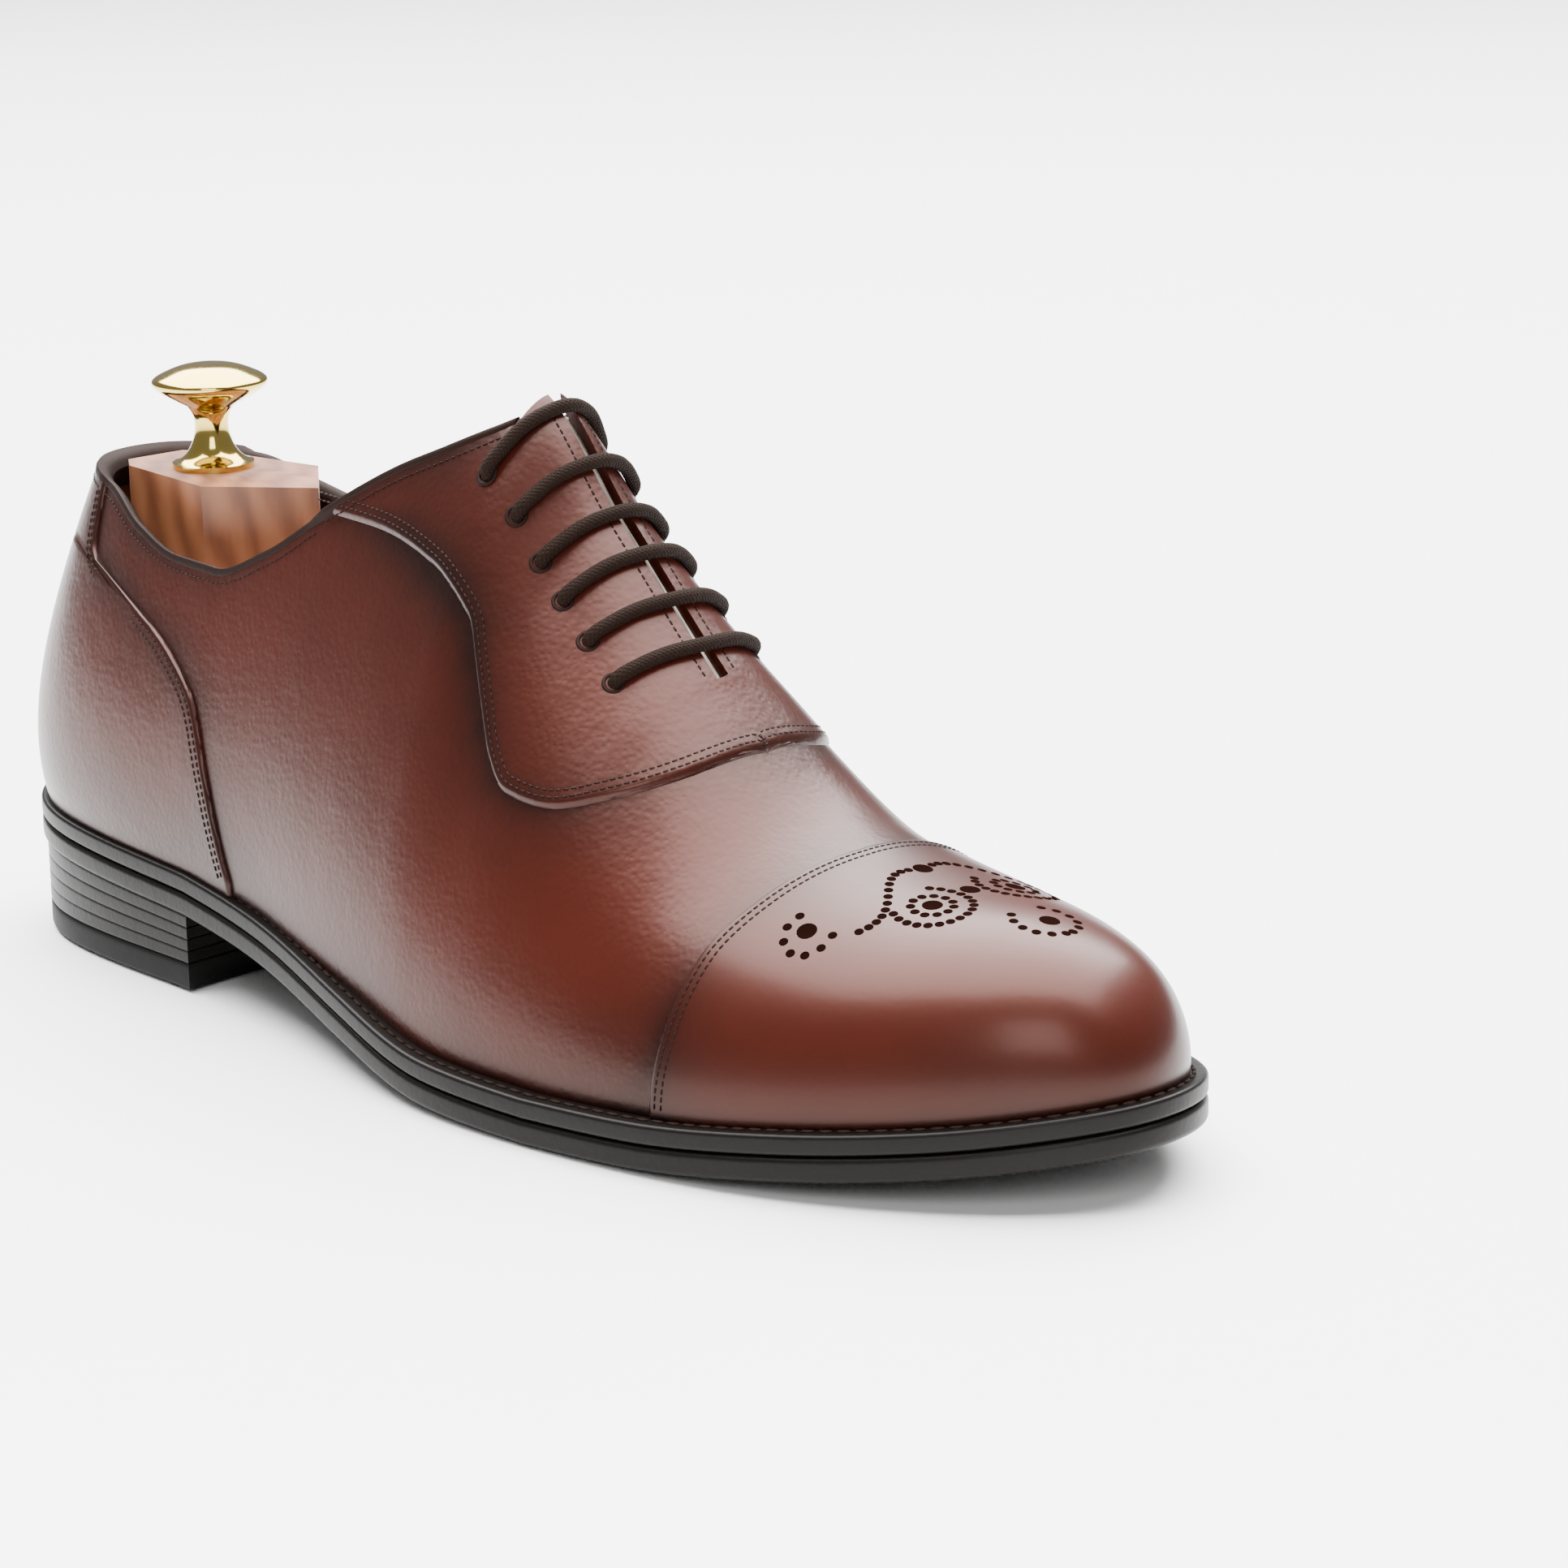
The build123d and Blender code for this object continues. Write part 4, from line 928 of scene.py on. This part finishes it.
@dataclass
class Lacing:
    """The round lace over the slit and its rims at the eyelets."""

    diameter: float = 2.8
    clearance: float = 0.3
    depth: float = 3.0
    sink: float = 0.4
    overlay: float = 1.0
    bow: float = 4.0
    pitch: float = 0.55
    rim_radius: float = 1.85
    rim_thickness: float = 0.42

    def bar(self, row: int) -> list[Array]:
        """One bar from the outer eyelet over the slit to the inner eyelet."""
        x, lift = EYELETS[row], self.overlay + self.diameter / 2 + self.clearance
        places = ((EYELET_LEVEL, 0.0), (0.86, 0.55 * self.bow))
        outer = [LAST.site(x + ahead, t, Side.OUTER, lift) for t, ahead in places]
        inner = [LAST.site(x + ahead, t, Side.INNER, lift) for t, ahead in places[::-1]]
        column = LAST.column(LAST.find(x + self.bow, 1.0, Side.OUTER), Side.OUTER)
        crest = LAST.surface(column, 1.0) + np.array([0.5, 0, 0.86]) * lift
        return outer + [crest] + inner

    def hidden(self, rows: tuple[int, ...], side: Side, level: float,
               stations: Sequence[float]) -> list[Array]:
        """Points under the lining, at eyelet rows and at stations between or beyond them."""
        depth = self.depth + self.diameter / 2 + self.clearance
        out = [LAST.site(EYELETS[rows[0]], EYELET_LEVEL, side, -depth)]
        for k, x in enumerate(stations):
            out.append(LAST.site(x, level, side, -depth - k * self.sink * (len(rows) == 1)))
        if len(rows) == 2:
            out.append(LAST.site(EYELETS[rows[1]], EYELET_LEVEL, side, -depth))
        return out

    def between(self, first: int, last: int, side: Side, level: float) -> list[Array]:
        """A hidden run between two eyelets of one side."""
        a, b = EYELETS[first], EYELETS[last]
        step = 2.6 if b < a else -2.6
        stations = (a - step, (a + b) / 2, b + step) if abs(b - a) > 10 else ((a + b) / 2,)
        return self.hidden((first, last), side, level, stations)

    def route(self) -> list[Array]:
        """The whole lace from one tucked end to the other."""
        route = self.hidden((5,), Side.INNER, 0.50, (157, 170, 183))[::-1]
        route += self.bar(5)[::-1] + self.between(5, 3, Side.OUTER, 0.83)
        route += self.bar(3) + self.between(3, 1, Side.INNER, 0.83)
        route += self.bar(1)[::-1] + self.between(1, 0, Side.OUTER, 0.66)
        route += self.bar(0) + self.between(0, 2, Side.INNER, 0.64)
        route += self.bar(2)[::-1] + self.between(2, 4, Side.OUTER, 0.64)
        return route + self.bar(4) + self.hidden((4,), Side.INNER, 0.57, (164, 176, 188))

    def build(self) -> None:
        """The lace as one braided tube, and a rim round each eyelet."""
        path = resampled(filleted(self.route()), self.pitch)
        piece = tube("round lace", LAST.frame_points(path), self.diameter / 2, 14)
        own(piece, SHOE, Finish.LACE, "lace")
        for row, x in enumerate(EYELETS, 1):
            for side in Side:
                self.rim(row, x, side)

    def rim(self, row: int, x: float, side: Side) -> None:
        """Dark turned rim of one eyelet."""
        a = LAST.site(x, EYELET_LEVEL, side, self.overlay)
        b = LAST.site(x, EYELET_LEVEL, side, self.overlay + 1)
        normal = Vector(b - a).normalized()
        bpy.ops.mesh.primitive_torus_add(major_segments=24, minor_segments=8,
                                         major_radius=self.rim_radius * MM,
                                         minor_radius=self.rim_thickness * MM)
        piece = bpy.context.object
        piece.name = f"{side.name.lower()}_eyelet_rim_{row}"
        place = Vector(LAST.frame_points(a)) * MM
        turn = normal.to_track_quat("Z", "Y").to_matrix().to_4x4()
        piece.data.transform(Matrix.Translation(place) @ turn @ Matrix.Scale(0.6, 4, (0, 0, 1)))
        smooth(piece, 80)
        own(piece, SHOE, Finish.BINDING)


@dataclass
class SoleUnit:
    """Welt, outsole, heel stack and their stitches."""

    outsole: float = 5.0
    welt: float = 4.0
    heel_inset: float = 0.8
    top_piece: float = 6.0
    lifts: int = 4
    welt_pitch: float = 3.4
    stitch_inset: float = 2.6
    joint: float = 0.08
    flat: float = 8.0
    inside: float = 26.0

    def build(self) -> None:
        """Builds every piece of the sole unit."""
        seam, top = self.outsole, self.outsole + self.welt
        self.layer("stitched welt", seam + self.joint, top, 0.9, "welt")
        self.layer("rounded outsole", 0.0, seam - self.joint, 1.3, "outsole")
        self.build_heel()
        self.build_welt_stitches()

    def layer(self, name: str, low: float, high: float, round_: float, node: str) -> None:
        """A sole layer round the whole outline, with rounded edges."""
        u = np.linspace(0, 1, 481)[:-1]
        quarter = [math.pi / 2 * k / 6 for k in range(7)]
        profile = [(self.inside, high), (self.flat, high), (round_ * 1.6, high)]
        profile += [(round_ * (1 - math.sin(a)), high - round_ * (1 - math.cos(a)))
                    for a in quarter]
        profile += [(round_ * (1 - math.cos(a)), low + round_ * (1 - math.sin(a)))
                    for a in quarter]
        profile += [(self.flat, low), (self.inside, low)]
        loops = []
        for inset, rise in profile:
            xy = LAST.outline(u, np.full_like(u, inset))
            foot = LAST.outline(u, np.full_like(u, min(inset, 3.0)))
            z = LAST.underside(xy[:, 0] if inset > 3 else foot[:, 0]) + rise
            loops.append(np.c_[xy, z])
        own(ring_stack(name, loops), SHOE, Finish.SOLE, node)

    def heel_loop(self, inset: float, height: Callable[[Array], Array]) -> Array:
        """Closed loop round the heel at an inset, with its straight breast."""
        breast = LAST.heel_length - max(0.0, inset - self.heel_inset)
        u = np.linspace(0, 1, 2401)
        xy = LAST.outline(u, np.full_like(u, inset))
        inner = xy[1200:][xy[1200:, 0] < breast]
        outer = xy[:1200][xy[:1200, 0] < breast]
        chain = np.vstack([inner, outer])
        chain = resampled(np.c_[chain, np.zeros(len(chain))], 1.0)[:, :2]
        chain = chain[np.linspace(0, len(chain) - 1, 150).round().astype(int)]
        s = np.linspace(0, 1, 32)[1:-1, None]
        front = chain[-1] + (chain[0] - chain[-1]) * s
        front[:, 0] -= 1.6 * np.sin(np.pi * s[:, 0])
        loop = np.vstack([chain, front])
        return np.c_[loop, height(loop[:, 0])]

    def level(self, share: float) -> Callable[[Array], Array]:
        """Height of a plane of the stack, from the flat top piece to the tilted seat."""
        def at(x: Array) -> Array:
            top = LAST.underside(np.clip(x, -6, LAST.heel_length))
            return self.top_piece + share * (top - self.top_piece)
        return at

    def block(self, name: str, low: Callable, high: Callable, round_: float, finish: Finish,
              node: str) -> None:
        """One layer of the heel with rounded edges."""
        loops = []
        for inset, share in ((12.0, 1.0), (round_, 1.0), (round_ * 0.3, 0.93), (0.0, 0.8),
                             (0.0, 0.2), (round_ * 0.3, 0.07), (round_, 0.0), (12.0, 0.0)):
            def height(x: Array, share: float = share) -> Array:
                return low(x) + (high(x) - low(x)) * share
            loops.append(self.heel_loop(self.heel_inset + inset, height))
        own(ring_stack(name, loops), SHOE, finish, node)

    def build_heel(self) -> None:
        """Leather lifts over a rubber top piece."""
        flat = lambda x: np.full(x.shape, 0.0)
        self.block("rubber heel piece", flat, self.level(0.0), 0.9, Finish.RUBBER,
                   "heel_top_piece")
        for k in range(self.lifts):
            low, high = self.level(k / self.lifts), self.level((k + 1) / self.lifts)
            self.block(f"heel layer {k + 1}", low, high, 0.16, Finish.SOLE, f"heel_lift_{k + 1}")

    def build_welt_stitches(self) -> None:
        """Thread along the top of the welt."""
        u = np.linspace(0, 1, 1201)
        xy = LAST.outline(u, np.full_like(u, self.stitch_inset))
        path = np.c_[xy, LAST.underside(xy[:, 0]) + self.outsole + self.welt + 0.1]
        path = resampled(path, 0.5)
        piece = capsules("welt stitches", [path], self.welt_pitch, 2.7, 0.42, 0.75)
        own(piece, SHOE, Finish.LACE)


@dataclass(frozen=True)
class LeatherLook:
    """Colours and surface of a leather."""

    light: tuple[float, float, float]
    dark: tuple[float, float, float]
    rough: float
    grain: float
    coat: float = 0.0
    gloss: float = 0.3
    tint: tuple[float, float, float] = (1.0, 1.0, 1.0)


LOOKS = {
    # The upper's dark colour shows where the cloud is low and where the vertices' darkening
    # attribute is high: burnished edges and painted shade near the feather line.
    Finish.UPPER: LeatherLook((0.034, 0.0052, 0.0027), (0.0045, 0.0013, 0.0010), 0.33, 0.45,
                              0.04, 0.3, (1.0, 0.60, 0.52)),
    Finish.SOLE: LeatherLook((0.0036, 0.0025, 0.0021), (0.002, 0.0015, 0.0013), 0.4, 0.3,
                             0.0, 0.11),
    Finish.RUBBER: LeatherLook((0.004, 0.0037, 0.0036), (0.003, 0.003, 0.003), 0.55, 0.2,
                               0.0, 0.1),
    Finish.LINING: LeatherLook((0.075, 0.03, 0.012), (0.045, 0.017, 0.007), 0.55, 0.3),
    Finish.BINDING: LeatherLook((0.006, 0.0021, 0.0015), (0.004, 0.0013, 0.001), 0.6, 0.3,
                                0.0, 0.12, (1.0, 0.7, 0.6)),
    Finish.LACE: LeatherLook((0.0085, 0.0040, 0.0027), (0.005, 0.0024, 0.0016), 0.8, 0.3,
                             0.0, 0.1, (1.0, 0.8, 0.7)),
}


class Nodes:
    """Short calls for one material's node tree."""

    def __init__(self, name: str) -> None:
        """Starts an empty material with its surface output."""
        self.material = bpy.data.materials.new(name)
        self.material.use_nodes = True
        self.tree = self.material.node_tree
        self.tree.nodes.clear()
        self.output = self.tree.nodes.new("ShaderNodeOutputMaterial")
        self.shader = self.add("ShaderNodeBsdfPrincipled")
        self.link(self.shader.outputs[0], self.output.inputs[0])
        self.place = self.add("ShaderNodeTexCoord").outputs["Object"]

    def add(self, kind: str, **settings: object) -> bpy.types.Node:
        """New node with its settings."""
        node = self.tree.nodes.new(kind)
        for key, value in settings.items():
            setattr(node, key, value)
        return node

    def link(self, source: bpy.types.NodeSocket, target: bpy.types.NodeSocket) -> None:
        """Joins two sockets."""
        self.tree.links.new(source, target)

    def noise(self, scale: float, detail: float = 3.0, rough: float = 0.5,
              vector: bpy.types.NodeSocket | None = None) -> bpy.types.NodeSocket:
        """Noise value at a scale per metre."""
        node = self.add("ShaderNodeTexNoise")
        node.inputs["Scale"].default_value = scale
        node.inputs["Detail"].default_value = detail
        node.inputs["Roughness"].default_value = rough
        self.link(vector or self.place, node.inputs["Vector"])
        return node.outputs[0]

    def ramp(self, source: bpy.types.NodeSocket, *stops: tuple) -> bpy.types.NodeSocket:
        """Colour ramp with stops of position and colour."""
        node = self.add("ShaderNodeValToRGB")
        while len(node.color_ramp.elements) < len(stops):
            node.color_ramp.elements.new(0.5)
        for element, (position, colour) in zip(node.color_ramp.elements, stops):
            element.position = position
            element.color = (*colour, 1.0)
        self.link(source, node.inputs[0])
        return node.outputs[0]

    def math(self, operation: str, a: object, b: object) -> bpy.types.NodeSocket:
        """Arithmetic on sockets or numbers."""
        node = self.add("ShaderNodeMath", operation=operation)
        for value, socket in zip((a, b), node.inputs):
            if isinstance(value, (int, float)):
                socket.default_value = value
            else:
                self.link(value, socket)
        return node.outputs[0]

    def bump(self, height: bpy.types.NodeSocket, strength: float, distance: float) -> None:
        """Adds a bump in metres under any that is already there."""
        node = self.add("ShaderNodeBump")
        node.inputs["Strength"].default_value = strength
        node.inputs["Distance"].default_value = distance
        self.link(height, node.inputs["Height"])
        target = self.shader.inputs["Normal"]
        if target.is_linked:
            self.link(target.links[0].from_socket, node.inputs["Normal"])
        self.link(node.outputs[0], target)

    def set(self, **values: object) -> None:
        """Sets shader numbers by their socket names, with spaces as underscores."""
        for key, value in values.items():
            self.shader.inputs[key.replace("_", " ")].default_value = value


def scaled(colour: Sequence[float], factor: float) -> tuple[float, ...]:
    """Colour times a factor."""
    return tuple(c * factor for c in colour)


class Materials:
    """Makes each finish once."""

    def __init__(self) -> None:
        """Starts with no finishes made."""
        self.made: dict[str, bpy.types.Material] = {}

    def upper(self, finish: Finish, piece: str) -> bpy.types.Material:
        """Finish of a dressed piece."""
        kind = "lace" if piece == "round_lace" else finish.value
        kind = "perforation" if "perforation" in piece else kind
        kind = "toe cap" if piece == "cap_panel" else kind
        if kind not in self.made:
            self.made[kind] = self.leather(kind, LOOKS[finish])
        return self.made[kind]

    def leather(self, name: str, look: LeatherLook) -> bpy.types.Material:
        """Leather with a cloudy colour, darkened by its vertices' darkening attribute (burnished
        edges and painted shade near the feather line), and a pebbled grain.
        """
        n = Nodes(name)
        cloud = n.noise(14.0, 4.0, 0.55)
        fine = n.noise(420.0, 2.0)
        # Darkening attribute: burnished seams, edges and heel back, plus painted shade low near
        # the feather line.
        burnish_and_shade_fac = n.add("ShaderNodeAttribute", attribute_name="burnish_and_shade").outputs["Fac"]
        tone = n.math("SUBTRACT", n.math("MULTIPLY", cloud, 1.5), n.math("MULTIPLY", burnish_and_shade_fac, 0.95))
        tone = n.math("ADD", tone, n.math("MULTIPLY", fine, 0.08))
        middle = tuple(0.55 * a + 0.45 * b for a, b in zip(look.light, look.dark))
        colour = n.ramp(tone, (0.0, look.dark), (0.45, middle), (0.95, look.light))
        n.link(colour, n.shader.inputs["Base Color"])
        n.set(Roughness=look.rough, Coat_Weight=look.coat, Coat_Roughness=0.16,
              Specular_IOR_Level=look.gloss, Specular_Tint=(*look.tint, 1.0))
        cells = n.add("ShaderNodeTexVoronoi", feature="SMOOTH_F1")
        cells.inputs["Scale"].default_value = 900.0
        n.link(n.place, cells.inputs["Vector"])
        strength = 0.1 if name == "toe cap" else look.grain
        n.bump(cells.outputs["Distance"], strength, 0.00010)
        n.bump(n.noise(160.0, 3.0), strength * 0.6, 0.00035)
        if name == "lace":
            self.braid(n)
        # Perforation discs: matt and without reflection, painted shade of the holes' depth.
        if name == "perforation":
            n.set(Roughness=1.0, Specular_IOR_Level=0.0)
        return n.material

    def braid(self, n: Nodes) -> None:
        """Braided surface of the lace from its wrap map."""
        uv = n.add("ShaderNodeSeparateXYZ")
        n.link(n.add("ShaderNodeUVMap", uv_map="wrap").outputs[0], uv.inputs[0])
        turn = n.math("MULTIPLY", uv.outputs[1], 8.0)
        run = n.math("MULTIPLY", uv.outputs[0], 1.1)
        waves = []
        for operation in ("ADD", "SUBTRACT"):
            phase = n.math("MULTIPLY", n.math(operation, run, turn), 2 * math.pi)
            waves.append(n.math("SINE", phase, 0.0))
        n.bump(n.math("MAXIMUM", *waves), 0.6, 0.00025)

    def cedar(self) -> bpy.types.Material:
        """Oiled cedar with grain running up the block."""
        n = Nodes("cedar")
        mapping = n.add("ShaderNodeMapping")
        mapping.inputs["Scale"].default_value = (1.0, 6.0, 0.9)
        mapping.inputs["Rotation"].default_value = (0.25, 0.45, 0.0)
        n.link(n.place, mapping.inputs["Vector"])
        flow = mapping.outputs[0]
        bands = n.noise(38.0, 5.0, 0.6, flow)
        wave = n.add("ShaderNodeTexWave", bands_direction="X")
        wave.inputs["Scale"].default_value = 34.0
        wave.inputs["Distortion"].default_value = 5.0
        wave.inputs["Detail"].default_value = 3.0
        n.link(flow, wave.inputs["Vector"])
        lines = n.math("MULTIPLY", wave.outputs[1], 0.4)
        tone = n.math("ADD", n.math("MULTIPLY", bands, 0.55), lines)
        colour = n.ramp(tone, (0.15, (0.10, 0.030, 0.011)), (0.5, (0.19, 0.066, 0.026)),
                        (0.85, (0.27, 0.105, 0.046)))
        n.link(colour, n.shader.inputs["Base Color"])
        n.set(Roughness=0.5)
        n.bump(wave.outputs[1], 0.12, 0.0002)
        return n.material

    def metal(self, name: str, colour: tuple[float, float, float],
              rough: float) -> bpy.types.Material:
        """Polished or brushed metal."""
        n = Nodes(name)
        smudge = n.noise(60.0, 3.0)
        n.link(n.ramp(smudge, (0.2, scaled(colour, 0.9)), (0.8, colour)),
               n.shader.inputs["Base Color"])
        n.set(Metallic=1.0, Roughness=rough)
        n.bump(n.noise(900.0, 2.0), 0.03, 0.0001)
        return n.material

    def plain(self, name: str, colour: tuple[float, float, float],
              rough: float) -> bpy.types.Material:
        """Matt material with a little mottling."""
        n = Nodes(name)
        n.link(n.ramp(n.noise(120.0), (0.2, scaled(colour, 0.8)), (0.8, scaled(colour, 1.1))),
               n.shader.inputs["Base Color"])
        n.set(Roughness=rough)
        n.bump(n.noise(700.0), 0.2, 0.0002)
        return n.material


MATERIALS = Materials()
CAMERA_TURN = (0.818, 0.254, -0.019)
CAMERA_PLACE = (0.670707, -0.565232, 0.277217)
CAMERA_LENS = 106.96
CAMERA_SHIFT = (-0.00728, -0.00241)
FLOOR_GAP = 0.0004


def dress_kept_nodes() -> None:
    """Gives every CAD node that stays its own finish."""
    finishes = {
        "cedar": MATERIALS.cedar(),
        "polished_brass": MATERIALS.metal("polished brass", (0.58, 0.43, 0.11), 0.12),
        "nail_brass": MATERIALS.metal("nail brass", (0.72, 0.5, 0.2), 0.3),
        "shank_steel": MATERIALS.metal("shank steel", (0.55, 0.55, 0.56), 0.35),
        "screw_steel": MATERIALS.metal("screw steel", (0.6, 0.6, 0.6), 0.3),
        "tube_steel": MATERIALS.metal("tube steel", (0.66, 0.66, 0.67), 0.22),
        "cork": MATERIALS.plain("cork", (0.36, 0.2, 0.1), 0.9),
        "insole_leather": MATERIALS.plain("insole leather", (0.5, 0.3, 0.16), 0.6),
        "lining_leather": MATERIALS.plain("sock leather", (0.42, 0.22, 0.1), 0.5),
        "interlining": MATERIALS.plain("interlining", (0.6, 0.56, 0.48), 0.9),
        "stiffener": MATERIALS.plain("stiffener", (0.5, 0.36, 0.22), 0.8),
        "lining_cloth": MATERIALS.plain("lining cloth", (0.6, 0.55, 0.46), 0.9),
        "aglet_plastic": MATERIALS.plain("aglet plastic", (0.02, 0.012, 0.01), 0.3),
        # The tongue is coloured far darker than the upper leather: painted shade inside the slit.
        "upper_leather": MATERIALS.plain("shaded tongue leather", (0.012, 0.004, 0.003), 0.45),
        "sole_leather": MATERIALS.plain("sole leather", (0.012, 0.009, 0.008), 0.4),
    }
    slots = {row["node"]: row["material_slot"] for row in frame["record"]["subparts"]}
    for name, node in frame["nodes"].items():
        finish = finishes.get(slots.get(name, ""), finishes["interlining"])
        for slot in node.material_slots:
            slot.material = finish
        LOG.info("kept node %s: %s", name, finish.name)


def build_studio() -> None:
    """Pale floor, soft overhead light and the camera."""
    bpy.ops.mesh.primitive_plane_add(size=12.0, location=(0, 0, -FLOOR_GAP))
    floor = bpy.context.object
    floor.name = "floor"
    n = Nodes("floor")
    n.shader.inputs["Base Color"].default_value = (0.93, 0.93, 0.93, 1)
    n.set(Roughness=0.35)
    floor.data.materials.append(n.material)
    world = bpy.data.worlds.new("studio")
    bpy.context.scene.world = world
    world.use_nodes = True
    world.node_tree.nodes["Background"].inputs[0].default_value = (1, 1, 1, 1)
    world.node_tree.nodes["Background"].inputs[1].default_value = 0.35
    for name, place, size, power in (
            ("overhead softbox", (-0.45, 0.45, 2.0), (3.4, 3.4), 640.0),
            ("side softbox", (1.3, -1.1, 1.1), (0.9, 0.9), 22.0)):
        data = bpy.data.lights.new(name, "AREA")
        data.shape, data.size, data.size_y, data.energy = "RECTANGLE", size[0], size[1], power
        light = bpy.data.objects.new(name, data)
        light.location = place
        aim = Vector((0, 0, 0.05)) - light.location
        light.rotation_euler = aim.to_track_quat("-Z", "Y").to_euler()
        bpy.context.scene.collection.objects.link(light)
    build_camera()


def build_camera() -> None:
    """Long lens from the front of the outer side, looking slightly down."""
    yaw, pitch, roll = CAMERA_TURN
    ahead = Vector((-math.sin(yaw) * math.cos(pitch), math.cos(yaw) * math.cos(pitch),
                    -math.sin(pitch)))
    right = ahead.cross(Vector((0, 0, 1))).normalized()
    up = right.cross(ahead)
    tilted = right * math.cos(roll) + up * math.sin(roll)
    upright = up * math.cos(roll) - right * math.sin(roll)
    data = bpy.data.cameras.new("camera")
    data.lens, data.sensor_width = CAMERA_LENS, 36.0
    data.shift_x, data.shift_y = CAMERA_SHIFT
    data.clip_start, data.clip_end = 0.05, 50
    camera = bpy.data.objects.new("camera", data)
    turn = Matrix((tilted, upright, -ahead)).transposed().to_4x4()
    camera.matrix_world = Matrix.Translation(CAMERA_PLACE) @ turn
    bpy.context.scene.collection.objects.link(camera)
    bpy.context.scene.camera = camera


def write_sizes() -> None:
    """Updates the view layer."""
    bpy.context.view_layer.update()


def main() -> None:
    """Dresses the shoe and sets the studio."""
    logging.basicConfig(level=logging.INFO, format="%(asctime)s %(message)s")
    build_studio()
    dress_kept_nodes()
    Lacing().build()
    Upper().build()
    SoleUnit().build()
    write_sizes()


if __name__ == "__main__":
    main()
